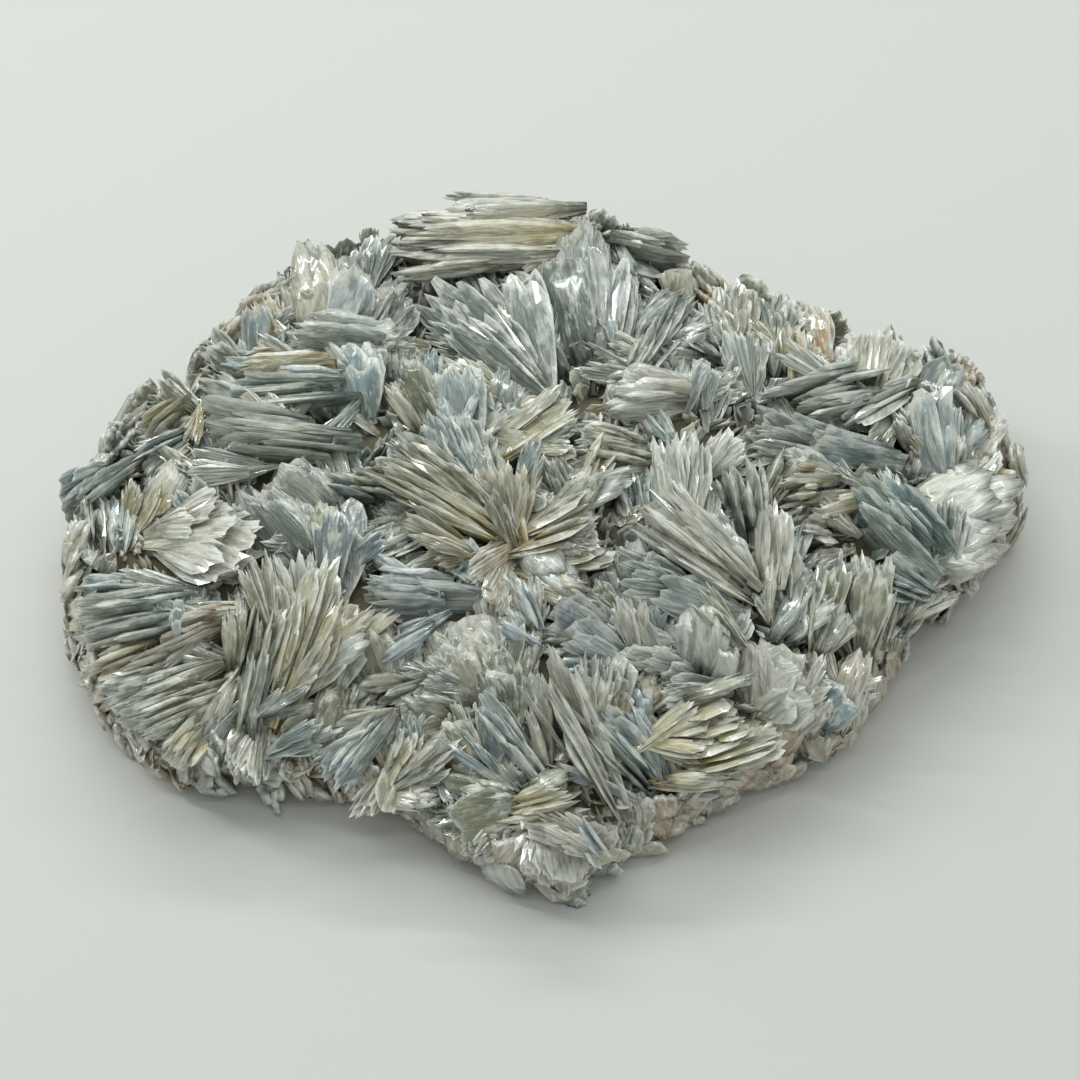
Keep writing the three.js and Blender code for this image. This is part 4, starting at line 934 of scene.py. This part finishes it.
# Takes out the crystals that lie wholly behind others from every side, because they only
# weigh the model down.
def dropBuried(objects):
    clouds, owners, numbers, offset = [], [], [], 0
    for item in objects:
        mesh = item.data
        points, crystals = pointsOf(mesh), crystalsOf(mesh) + offset
        ends = np.empty(len(mesh.edges) * 2, np.int32)
        mesh.edges.foreach_get("vertices", ends)
        first, second = ends.reshape(-1, 2).T
        clouds += [points, (points[first] + points[second]) / 2]
        owners += [crystals, crystals[first]]
        numbers.append(crystals)
        offset = int(crystals.max()) + 1
    cloud, owner = np.concatenate(clouds), np.concatenate(owners)
    seen = np.zeros(offset, bool)
    cells = lookouts["cells"]
    for azimuth, elevation in lookouts["angles"]:
        turn, level = math.radians(azimuth), math.radians(elevation)
        toward = np.array([math.sin(turn) * math.cos(level), -math.cos(turn) * math.cos(level),
                           math.sin(level)])
        aside = np.array([math.cos(turn), math.sin(turn), 0.0])
        column, line = [np.floor(cloud @ axis / lookouts["cell"]).astype(np.int64) + cells // 2
                        for axis in (aside, np.cross(aside, -toward))]
        cell = column * cells + line
        near = cloud @ toward
        foremost = np.full(cells * cells, -np.inf)
        np.maximum.at(foremost, cell, near)
        seen[owner[near > foremost[cell] - lookouts["behind"]]] = True
    for item, crystals in zip(objects, numbers):
        work = bmesh.new()
        work.from_mesh(item.data)
        work.verts.ensure_lookup_table()
        buried = [work.verts[k] for k in np.nonzero(~seen[crystals])[0]]
        bmesh.ops.delete(work, geom=buried, context="VERTS")
        work.to_mesh(item.data)
        work.free()
    print("crystals seen", int(seen.sum()), "of", offset)


settling = {
    "deepFrom": 1.5, "deepOver": 4.5,      # millimetres under the growth height, for the painted shade between the fans
    "rimFree": 0.93, "rimFade": 0.08,      # shares of the outline that keep free of it
    "wallFrom": 0.88, "wallFade": 0.06,    # shares of the outline where the wall starts
    "gap": 0.02,                           # millimetres kept from the solid's box
    "margin": (1.5, 1.5, 0.8),             # millimetres inside the box where pressing starts
}


# Gives each point its depth under the growth height, keeps the piece over the floor and
# inside the solid's box, and moves it to the frame's own place.
def settle(piece):
    rule, mesh = settling, piece.data
    points = pointsOf(mesh)
    depth = growthHeight(points[:, 0], points[:, 1]) - points[:, 2]
    away = points[:, :2] - np.array(middle[:2])
    share = np.hypot(away[:, 0], away[:, 1]) / rimRadius(np.arctan2(away[:, 1], away[:, 0]))
    free = np.clip((rule["rimFree"] - share) / rule["rimFade"], 0, 1)
    # The depth drives the painted shade between the fans, faded out near the outline.
    keep(mesh, "depth", np.clip((depth - rule["deepFrom"]) / rule["deepOver"], 0, 1) * free)
    keep(mesh, "wall", np.clip((share - rule["wallFrom"]) / rule["wallFade"], 0, 1))
    low, high = [np.array(corner) / toMetres + np.array(layout["centre"]) + gap
                 for corner, gap in ((solidLow, rule["gap"]), (solidHigh, -rule["gap"]))]
    # Ends that reach past the box are pressed together just inside it, and never into one
    # plane. The crust's flat underside stays flat.
    margin = np.array(rule["margin"])
    over = np.maximum(points - (high - margin), 0)
    points -= over - margin * (1 - np.exp(-over / margin))
    under = np.maximum((low + margin - points) * (1, 1, 0 if piece is crust else 1), 0)
    points += under - margin * (1 - np.exp(-under / margin))
    points[:, 2] = np.maximum(points[:, 2], low[2])
    mesh.vertices.foreach_set("co", points.astype(np.float32).ravel())
    mesh.transform(toRow)
    mesh.update()
    for spare in ("size", "shift", "crystal", "bare", "lead", "face", "tone"):
        if spare in mesh.attributes:
            mesh.attributes.remove(mesh.attributes[spare])
    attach(piece, "root")
    triangles = sum(len(face.vertices) - 2 for face in mesh.polygons)
    print(piece.name, triangles, "triangles")


# Whether a place on the display face is inside the crust's outline.
def insideRim(across, up):
    inside = False
    for k, (x, y, _) in enumerate(crustRim):
        beforeX, beforeY, _ = crustRim[k - 1]
        if (y > up) != (beforeY > up) and across < (beforeX - x) * (up - y) / (beforeY - y) + x:
            inside = not inside
    return inside


# Smaller, lower fans that stand beside a fan of the table and fill the gaps round it.
gapSizes = {
    "each": 3,
    "along": (-0.1, 0.6),     # where they root, in shares of the fan's length
    "beside": (0.2, 0.5),     # and of its width, and a little more
    "clear": 0.5,
    "turn": (5, 50),          # degrees away from the fan's own way
    "length": (0.4, 0.8), "shortest": 5, "longest": 11,
    "lowerRoot": 1.5, "lowerTip": (1.5, 3.5), "leastRise": 0.5,
    "wide": (0.6, 0.9), "narrowest": 3.5, "widest": 8,
    "kinds": ["feather", "crest", "sheet", "sheet", "crest"],
    "sameTint": 0.45,         # how many take the fan's own tint
    "tints": ["grey", "grey", "greenBlue", "olive", "white", "creamGrey", "blue", "warmGrey"],
}


def gapFans(row):
    name, _, root, tip, rise, wide, tint, *_ = row
    sizes, dice, rows = gapSizes, random.Random(name + "gap"), []
    reach = Vector(tip) - Vector(root)
    for turn in range(sizes["each"]):
        side = 1 if turn % 2 else -1
        beside = Vector((-reach.y, reach.x)).normalized() * side
        start = Vector(root) + reach * dice.uniform(*sizes["along"])
        start += beside * (sizes["clear"] + wide * dice.uniform(*sizes["beside"]))
        angle = math.radians(side * dice.uniform(*sizes["turn"]))
        length = max(sizes["shortest"], reach.length * dice.uniform(*sizes["length"]))
        step = reach.normalized() * min(sizes["longest"], length)
        end = start + Vector((step.x * math.cos(angle) - step.y * math.sin(angle),
                              step.x * math.sin(angle) + step.y * math.cos(angle)))
        if insideRim(*start) and insideRim(*end):
            kind = dice.choice(sizes["kinds"])
            low = max(0.0, rise[0] - sizes["lowerRoot"])
            high = max(sizes["leastRise"], rise[1] - dice.uniform(*sizes["lowerTip"]))
            width = max(sizes["narrowest"], wide * dice.uniform(*sizes["wide"]))
            ownTint = tint if dice.random() < sizes["sameTint"] else dice.choice(sizes["tints"])
            rows.append((f"{name}Gap{turn}", kind, tuple(start), tuple(end), (low, high),
                         min(sizes["widest"], width), ownTint))
    return rows


grown = []
for region, rows in fans.items():
    carriers = [makeFan(*row) for row in rows]
    carriers += [makeFan(*gap) for row in rows for gap in gapFans(row)]
    grown.append(joinRegion(f"{region}Blades", carriers))
print("fans of blades grown")


# The back, out of sight of the display face: rows of crests that lean outwards, from the first
# to the last in degrees. They root at a share of the crust's radius and a height.
backRows = [
    dict(count=9, first=30, last=150, share=0.82, height=16, reach=9, climb=3, wide=13),
    dict(count=8, first=36, last=144, share=0.86, height=7, reach=9, climb=4, wide=12),
]
backTints = ("grey", "white", "greenBlue", "cream")
backToward = Vector((0, 0.4, 1))

carriers = []
for rowNumber, row in enumerate(backRows):
    for k in range(row["count"]):
        angle = math.radians(row["first"] + (row["last"] - row["first"]) * k / (row["count"] - 1))
        outwards = Vector((math.cos(angle), math.sin(angle), 0))
        root = middle + outwards * float(rimRadius(angle)) * row["share"]
        root.z = row["height"] + k % 2
        tip = root + outwards * row["reach"] + Vector((0, 0, row["climb"] - k % 3))
        tint = backTints[(k + rowNumber) % len(backTints)]
        carriers.append(makeFan(f"back{rowNumber}{k}", "crest", root, tip, (0, 0), row["wide"],
                                tint, toward=backToward))
grown.append(joinRegion("backBlades", carriers))

# The wall: rough plates stand up it all round, and each row hides the feet of the one above.
wallPlates = {
    "rows": 3,
    "step": 5.0, "stepJitter": (0.8, 1.2),    # millimetres from plate to plate
    "reach": 0.5,                             # of the wall's height
    "wide": (6, 13),
    "headingJitter": 0.06, "facing": 0.2,     # how far plates stray sideways and face up
    "kinds": ["wall", "wall", "wall", "crest"],
    "tints": ["creamGrey", "beige", "white", "pinkCream", "grey", "olive", "creamGrey", "tan"],
    "broken": (-1.3, -0.3),                   # where the crust broke, at the front right
    "brokenTints": ["tan", "pinkCream", "tan", "beige"],
}
# How far the wall stands in from the widest outline, as a share of it.
wallLean = {"foot": 0.03, "shoulder": 0.06}


def wallShare(angle, height):
    rim, shoulder = float(rimHeight(angle)), float(shoulderHeight(angle))
    if height < rim:
        return 1 - wallLean["foot"] + wallLean["foot"] * height / rim
    return 1 - wallLean["shoulder"] * min(1, (height - rim) / (shoulder - rim)) ** 2


carriers, dice, wall = [], random.Random("wall"), wallPlates
for rowNumber in range(wall["rows"]):
    angle = 0.0
    while angle < 2 * math.pi:
        shoulder = float(shoulderHeight(angle))
        ends = []
        for turn in (0, 1):
            height = shoulder * (rowNumber / wall["rows"] + turn * wall["reach"])
            height += dice.uniform(0, 1)
            heading = angle + dice.uniform(-wall["headingJitter"], wall["headingJitter"])
            outwards = Vector((math.cos(heading), math.sin(heading), 0))
            away = outwards * float(rimRadius(heading)) * wallShare(heading, height)
            ends.append(middle + away + Vector((0, 0, height)))
        kind, wide = dice.choice(wall["kinds"]), dice.uniform(*wall["wide"])
        isBroken = wall["broken"][0] < angle - 2 * math.pi < wall["broken"][1]
        tint = dice.choice(wall["brokenTints" if isBroken else "tints"])
        carriers.append(makeFan(f"wall{rowNumber}{angle:.3f}", kind, *ends, (0, 0), wide, tint,
                                toward=outwards + Vector((0, 0, wall["facing"]))))
        angle += wall["step"] * dice.uniform(*wall["stepJitter"]) / float(rimRadius(angle))
grown.append(joinRegion("wallPlates", carriers))
print("back and wall grown")


crustSizes = {
    "drop": 1.6,                  # how far it lies under the growth height between the fans
    "around": 260,                # points round a ring
    "under": 0.9,                 # the flat underside, as a share of the widest outline
    "footEdge": (0.955, 0.6),     # the underside's rounded edge, as a share and a height
    "footHeight": 1.6,
    "wallSteps": (0.35, 0.7, 1.0),
    "shoulderSteps": (0.2, 0.4, 0.6, 0.8, 1.0),
    "topRings": (0.92, 0.03, 46),           # shares from the edge to the middle, and how many
    "lump": 0.7, "lumpScale": 0.28,         # how far its lumps stand in, and how close they lie
    "lumpNoise": (0.9, 2.2, 5),
    "inset": 1.7, "topInset": 0.1,          # how far the wall stands in behind its plates
    "hollowEdge": 1.25,                     # how far past its radius a hollow runs out
    "floorFree": 0.1,                       # the height under which it has no lumps
}
# Hollows between the fans: where they are seen, their radius and their depth.
hollows = [
    (-17, -4, 5, 5), (22.5, 1.5, 3, 5), (46.5, 13.5, 3, 5), (-13.5, 27.5, 4, 5),
    (14.5, 36, 3, 4), (-2, 8, 4, 4), (-47, -12.5, 3, 4), (2, -10, 3, 5), (8.5, 8.5, 3, 5),
    (-36, 16, 4, 4), (-27, -24, 4, 4), (-45, -30, 3, 3),
]
hollowPlaces = [(onCrust((u, v), 0), radius, depth) for u, v, radius, depth in hollows]


# Rings of points from the flat underside out round the wall and in over the top.
def makeCrust():
    sizes = crustSizes
    count = sizes["around"]
    angles = np.linspace(-math.pi, math.pi, count, endpoint=False)
    shoulder = shoulderHeight(angles) - sizes["drop"]
    rim, foot, flat = rimHeight(angles), sizes["footHeight"], np.zeros(count)
    footShare, (edgeShare, edgeHeight) = 1 - wallLean["foot"], sizes["footEdge"]
    rings = [(sizes["under"] * 0.5, flat), (sizes["under"], flat),
             (edgeShare, flat + edgeHeight), (footShare, flat + foot)]
    rings += [(footShare + wallLean["foot"] * t, foot + (rim - foot) * t)
              for t in sizes["wallSteps"]]
    rings += [(1.0 - wallLean["shoulder"] * t * t, rim + (shoulder - rim) * t)
              for t in sizes["shoulderSteps"]]
    rings += [(share, None) for share in np.linspace(*sizes["topRings"])]
    points = []
    for share, heights in rings:
        isTop = heights is None
        for k, angle in enumerate(angles):
            radius = float(rimRadius(angle)) * share
            x, y = middle.x + math.cos(angle) * radius, middle.y + math.sin(angle) * radius
            if isTop:
                z = float(growthHeight(x, y)) - sizes["drop"]
                for centre, size, depth in hollowPlaces:
                    near = math.hypot(x - centre.x, y - centre.y) / size
                    z -= depth * max(0, 1 - (near / sizes["hollowEdge"]) ** 2)
            else:
                z = float(heights[k])
            point = Vector((x, y, z))
            if z > sizes["floorFree"]:
                rough = abs(noise.fractal(point * sizes["lumpScale"], *sizes["lumpNoise"])
                            * sizes["lump"])
                point.z -= rough if isTop else 0
                inward = Vector((middle.x - x, middle.y - y, 0)).normalized()
                point += inward * (rough + sizes["topInset" if isTop else "inset"])
            points.append(point)
    last = (len(rings) - 1) * count
    faces = [(ring + k, ring + (k + 1) % count, ring + count + (k + 1) % count, ring + count + k)
             for ring in range(0, last, count) for k in range(count)]
    faces += [tuple(range(count))[::-1], tuple(range(last, last + count))]
    mesh = bpy.data.meshes.new("crust")
    mesh.from_pydata(points, [], faces)
    mesh.materials.append(crustBarite)
    crust = bpy.data.objects.new("crust", mesh)
    bpy.context.scene.collection.objects.link(crust)
    return crust


crust = makeCrust()
print("crust made")

tuftSizes = {
    "Spacing": 3.0, "Each": 4, "Length": 4.2, "Width": 3.0, "Thickness": 0.8, "Lean": 0.75,
    "Part": 0.35, "Sunk": 0.25, "Seed": 3,
}
# What tufts are tinted, one after another.
tuftTints = ["grey", "white", "olive", "greenBlue", "creamGrey", "cream", "grey", "blue"]
# What is drawn for each blade of a tuft: the seed, and two values that it lies between.
tuftDraws = {
    "turn": (5, -0.5, 0.5), "Width": (6, 0.45, 1.25), "Length": (7, 0.5, 1.25),
    "Thickness": (8, 0.7, 1.25), "aside": (10, -0.35, 0.35), "through": (11, -1.6, 1.6),
}
tuftInputs = {
    "Geometry": ("Crust",), "Int": ("Each", "Seed"),
    "Float": ("Spacing", "Length", "Width", "Thickness", "Lean", "Part", "Sunk"),
    "Collection": ("Blades",), "Material": ("Material",),
}


# Small tufts of blades stood over the bare parts of the crust, each leaning its own way.
def makeTuftTree():
    tree, given, sockets = startTree("tuftsOfBlades", tuftInputs)
    bare = addNode(tree, "GeometryNodeInputNamedAttribute", {"Name": "bare"}, data_type="FLOAT")
    points = addNode(tree, "GeometryNodeDistributePointsOnFaces", {
        "Mesh": given["Crust"], "Distance Min": given["Spacing"], "Density Max": 1.0,
        "Density Factor": bare, "Seed": given["Seed"]}, distribute_method="POISSON")
    normal = points.node.outputs["Normal"]
    stray = addNode(tree, "FunctionNodeRandomValue", {0: (-1,) * 3, 1: (1,) * 3, 8: 1},
                    data_type="FLOAT_VECTOR")
    lead = addNode(tree, "ShaderNodeVectorMath", {0: stray, "Scale": given["Lean"]},
                   operation="SCALE")
    lead = addNode(tree, "ShaderNodeVectorMath", {0: lead, 1: normal}, operation="ADD")
    face, tone = [addNode(tree, "FunctionNodeRandomValue", {2: low, 3: high, 8: salt}, give=1)
                  for salt, low, high in ((2, -3.14, 3.14), (3, 0.0, 1.0))]
    kept = {}
    for name, value, kind in (("lead", lead, "FLOAT_VECTOR"), ("face", face, "FLOAT"),
                              ("tone", tone, "FLOAT")):
        points = addNode(tree, "GeometryNodeStoreNamedAttribute", {
            "Geometry": points, "Name": name, "Value": value}, data_type=kind, domain="POINT")
        kept[name] = addNode(tree, "GeometryNodeInputNamedAttribute", {"Name": name},
                             data_type=kind)
    points = addNode(tree, "GeometryNodeDuplicateElements", {
        "Geometry": points, "Amount": given["Each"]}, domain="POINT")
    ident = addNode(tree, "GeometryNodeInputIndex")
    drawn = {name: addNode(tree, "FunctionNodeRandomValue", {2: low, 3: high, 7: ident, 8: salt},
                           give=1) for name, (salt, low, high) in tuftDraws.items()}

    # The blades of a tuft part from its lead, and their faces stay near to parallel.
    stray = addNode(tree, "FunctionNodeRandomValue", {0: (-1,) * 3, 1: (1,) * 3, 7: ident, 8: 4},
                    data_type="FLOAT_VECTOR")
    course = addNode(tree, "ShaderNodeVectorMath", {0: stray, "Scale": given["Part"]},
                     operation="SCALE")
    lead = addNode(tree, "ShaderNodeVectorMath", {0: kept["lead"]}, operation="NORMALIZE")
    course = addNode(tree, "ShaderNodeVectorMath", {0: course, 1: lead}, operation="ADD")
    turn = addNode(tree, "FunctionNodeAlignRotationToVector", {"Vector": course}, axis="Y")
    twist = addNode(tree, "ShaderNodeMath", {0: kept["face"], 1: drawn["turn"]}, operation="ADD")
    twist = addNode(tree, "FunctionNodeAxisAngleToRotation", {0: (0, 1, 0), 1: twist})
    turn = addNode(tree, "FunctionNodeRotateRotation", {0: turn, 1: twist}, rotation_space="LOCAL")
    spans = [addNode(tree, "ShaderNodeMath", {0: given[name], 1: drawn[name]},
                     operation="MULTIPLY") for name in ("Width", "Length", "Thickness")]
    size = addNode(tree, "ShaderNodeCombineXYZ", dict(enumerate(spans)))
    tufts = setBlades(tree, points, given["Blades"], ident, 9, turn, size)
    # The step is in shares of the blade's own size.
    sink = addNode(tree, "ShaderNodeMath", {0: given["Sunk"], 1: -1.0}, operation="MULTIPLY")
    step = addNode(tree, "ShaderNodeCombineXYZ", {
        0: drawn["aside"], 1: sink, 2: drawn["through"]})
    tufts = addNode(tree, "GeometryNodeTranslateInstances", {
        "Instances": tufts, "Translation": step, "Local Space": True})
    tintPair = []
    for end in (0, 1):
        ramp = tree.nodes.new("ShaderNodeValToRGB")
        stops = ramp.color_ramp.elements
        ramp.color_ramp.interpolation = "CONSTANT"
        tree.links.new(kept["tone"], ramp.inputs[0])
        for k, name in enumerate(tuftTints):
            stop = stops[0] if k == 0 else stops.new(k / len(tuftTints))
            stop.color = linear(tints[name][end])
        stops.remove(stops[-1])
        tintPair.append(ramp.outputs[0])
    dressed = dressBlades(tree, tufts, size, *tintPair, ident, given["Material"])
    addNode(tree, "NodeGroupOutput", {0: dressed})
    return tree, sockets


# Tufts stand on top of the crust, inside a share of its outline and out of the hollows.
bareness = {"height": 0.8, "share": 0.93, "hollow": 0.75}
bare = []
for vertex in crust.data.vertices:
    x, y, z = vertex.co
    away = Vector((x - middle.x, y - middle.y))
    share = away.length / float(rimRadius(math.atan2(away.y, away.x)))
    isOpen = all(math.hypot(x - at.x, y - at.y) > radius * bareness["hollow"]
                 for at, radius, _ in hollowPlaces)
    bare.append(isOpen and z > bareness["height"] and share < bareness["share"])

tuftTree, tuftSockets = makeTuftTree()
tuftValues = {**tuftSizes, "Blades": bladeSets["chip"], "Material": barite}
tufts = treeObject("tufts", tuftTree, tuftSockets, tuftValues, Matrix.Identity(4))
tufts.data = crust.data.copy()
keep(tufts.data, "bare", bare)
grown.append(joinRegion("tufts", [tufts]))

dropBuried(grown)
pieces = grown + [crust]
for piece in pieces:
    settle(piece)

for bladeSet in bladeSets.values():
    for blade in list(bladeSet.objects):
        bpy.data.objects.remove(blade)
    bpy.data.collections.remove(bladeSet)

for piece in pieces:
    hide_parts("barite_cluster")
print("cluster made of", len(pieces), "pieces")


stage = {"floorSize": 3.0, "floorColour": "#d8d7d3", "floorRoughness": 0.8, "floorDrop": 0.0002}
half = stage["floorSize"] / 2
floorMesh = bpy.data.meshes.new("floor")
floorMesh.from_pydata([(-half, -half, 0), (half, -half, 0), (half, half, 0), (-half, half, 0)],
                      [], [(0, 1, 2, 3)])
floorPaint = bpy.data.materials.new("pale floor")
floorPaint.use_nodes = True
floorSkin = floorPaint.node_tree.nodes["Principled BSDF"].inputs
floorSkin["Base Color"].default_value = linear(stage["floorColour"])
floorSkin["Roughness"].default_value = stage["floorRoughness"]
floorMesh.materials.append(floorPaint)
floor = bpy.data.objects.new("floor", floorMesh)
floor.location.z = -stage["floorDrop"]
bpy.context.scene.collection.objects.link(floor)

# Each light: its sides in metres, power in watts, and where it stands.
lightColour = (0.95, 1.0, 0.99)
lights = {
    "overhead": dict(size=(0.5, 0.5), power=0.85, at=(-0.1, 0.25, 0.6)),
    "fill": dict(size=(0.7, 0.7), power=0.3, at=(0.5, -0.5, 0.5)),
    "stripBack": dict(size=(0.6, 0.01), power=0.8, at=(0.0, 0.4, 0.45)),
    "stripLeft": dict(size=(0.01, 0.6), power=0.72, at=(-0.35, 0.1, 0.5)),
    "stripFarLeft": dict(size=(0.01, 0.5), power=0.47, at=(-0.5, 0.2, 0.25)),
    "stripRight": dict(size=(0.01, 0.6), power=0.47, at=(0.25, 0.1, 0.6)),
    "stripFront": dict(size=(0.6, 0.01), power=0.4, at=(0.0, -0.2, 0.65)),
}
for name, light in lights.items():
    lamp = bpy.data.lights.new(name, "AREA")
    lamp.shape, lamp.energy, lamp.color = "RECTANGLE", light["power"], lightColour
    lamp.size, lamp.size_y = light["size"]
    holder = bpy.data.objects.new(name, lamp)
    holder.location = light["at"]
    holder.rotation_mode = "QUATERNION"
    holder.rotation_quaternion = (-Vector(light["at"])).to_track_quat("-Z", "Y")
    bpy.context.scene.collection.objects.link(holder)

studio = {"colour": "#dfe6e3", "strength": 0.45, "lens": 100, "sensor": 36}
world = bpy.data.worlds.new("studio")
world.use_nodes = True
background = world.node_tree.nodes["Background"].inputs
background["Color"].default_value = linear(studio["colour"])
background["Strength"].default_value = studio["strength"]
bpy.context.scene.world = world
bpy.context.scene.view_settings.view_transform = "Standard"

cameraData = bpy.data.cameras.new("camera")
cameraData.lens, cameraData.sensor_width = studio["lens"], studio["sensor"]
camera = bpy.data.objects.new("camera", cameraData)
camera.location = toRow @ eye
camera.rotation_mode = "QUATERNION"
camera.rotation_quaternion = (-toEye).to_track_quat("-Z", "Y")
bpy.context.scene.collection.objects.link(camera)
bpy.context.scene.camera = camera
print("floor, lights and camera set")
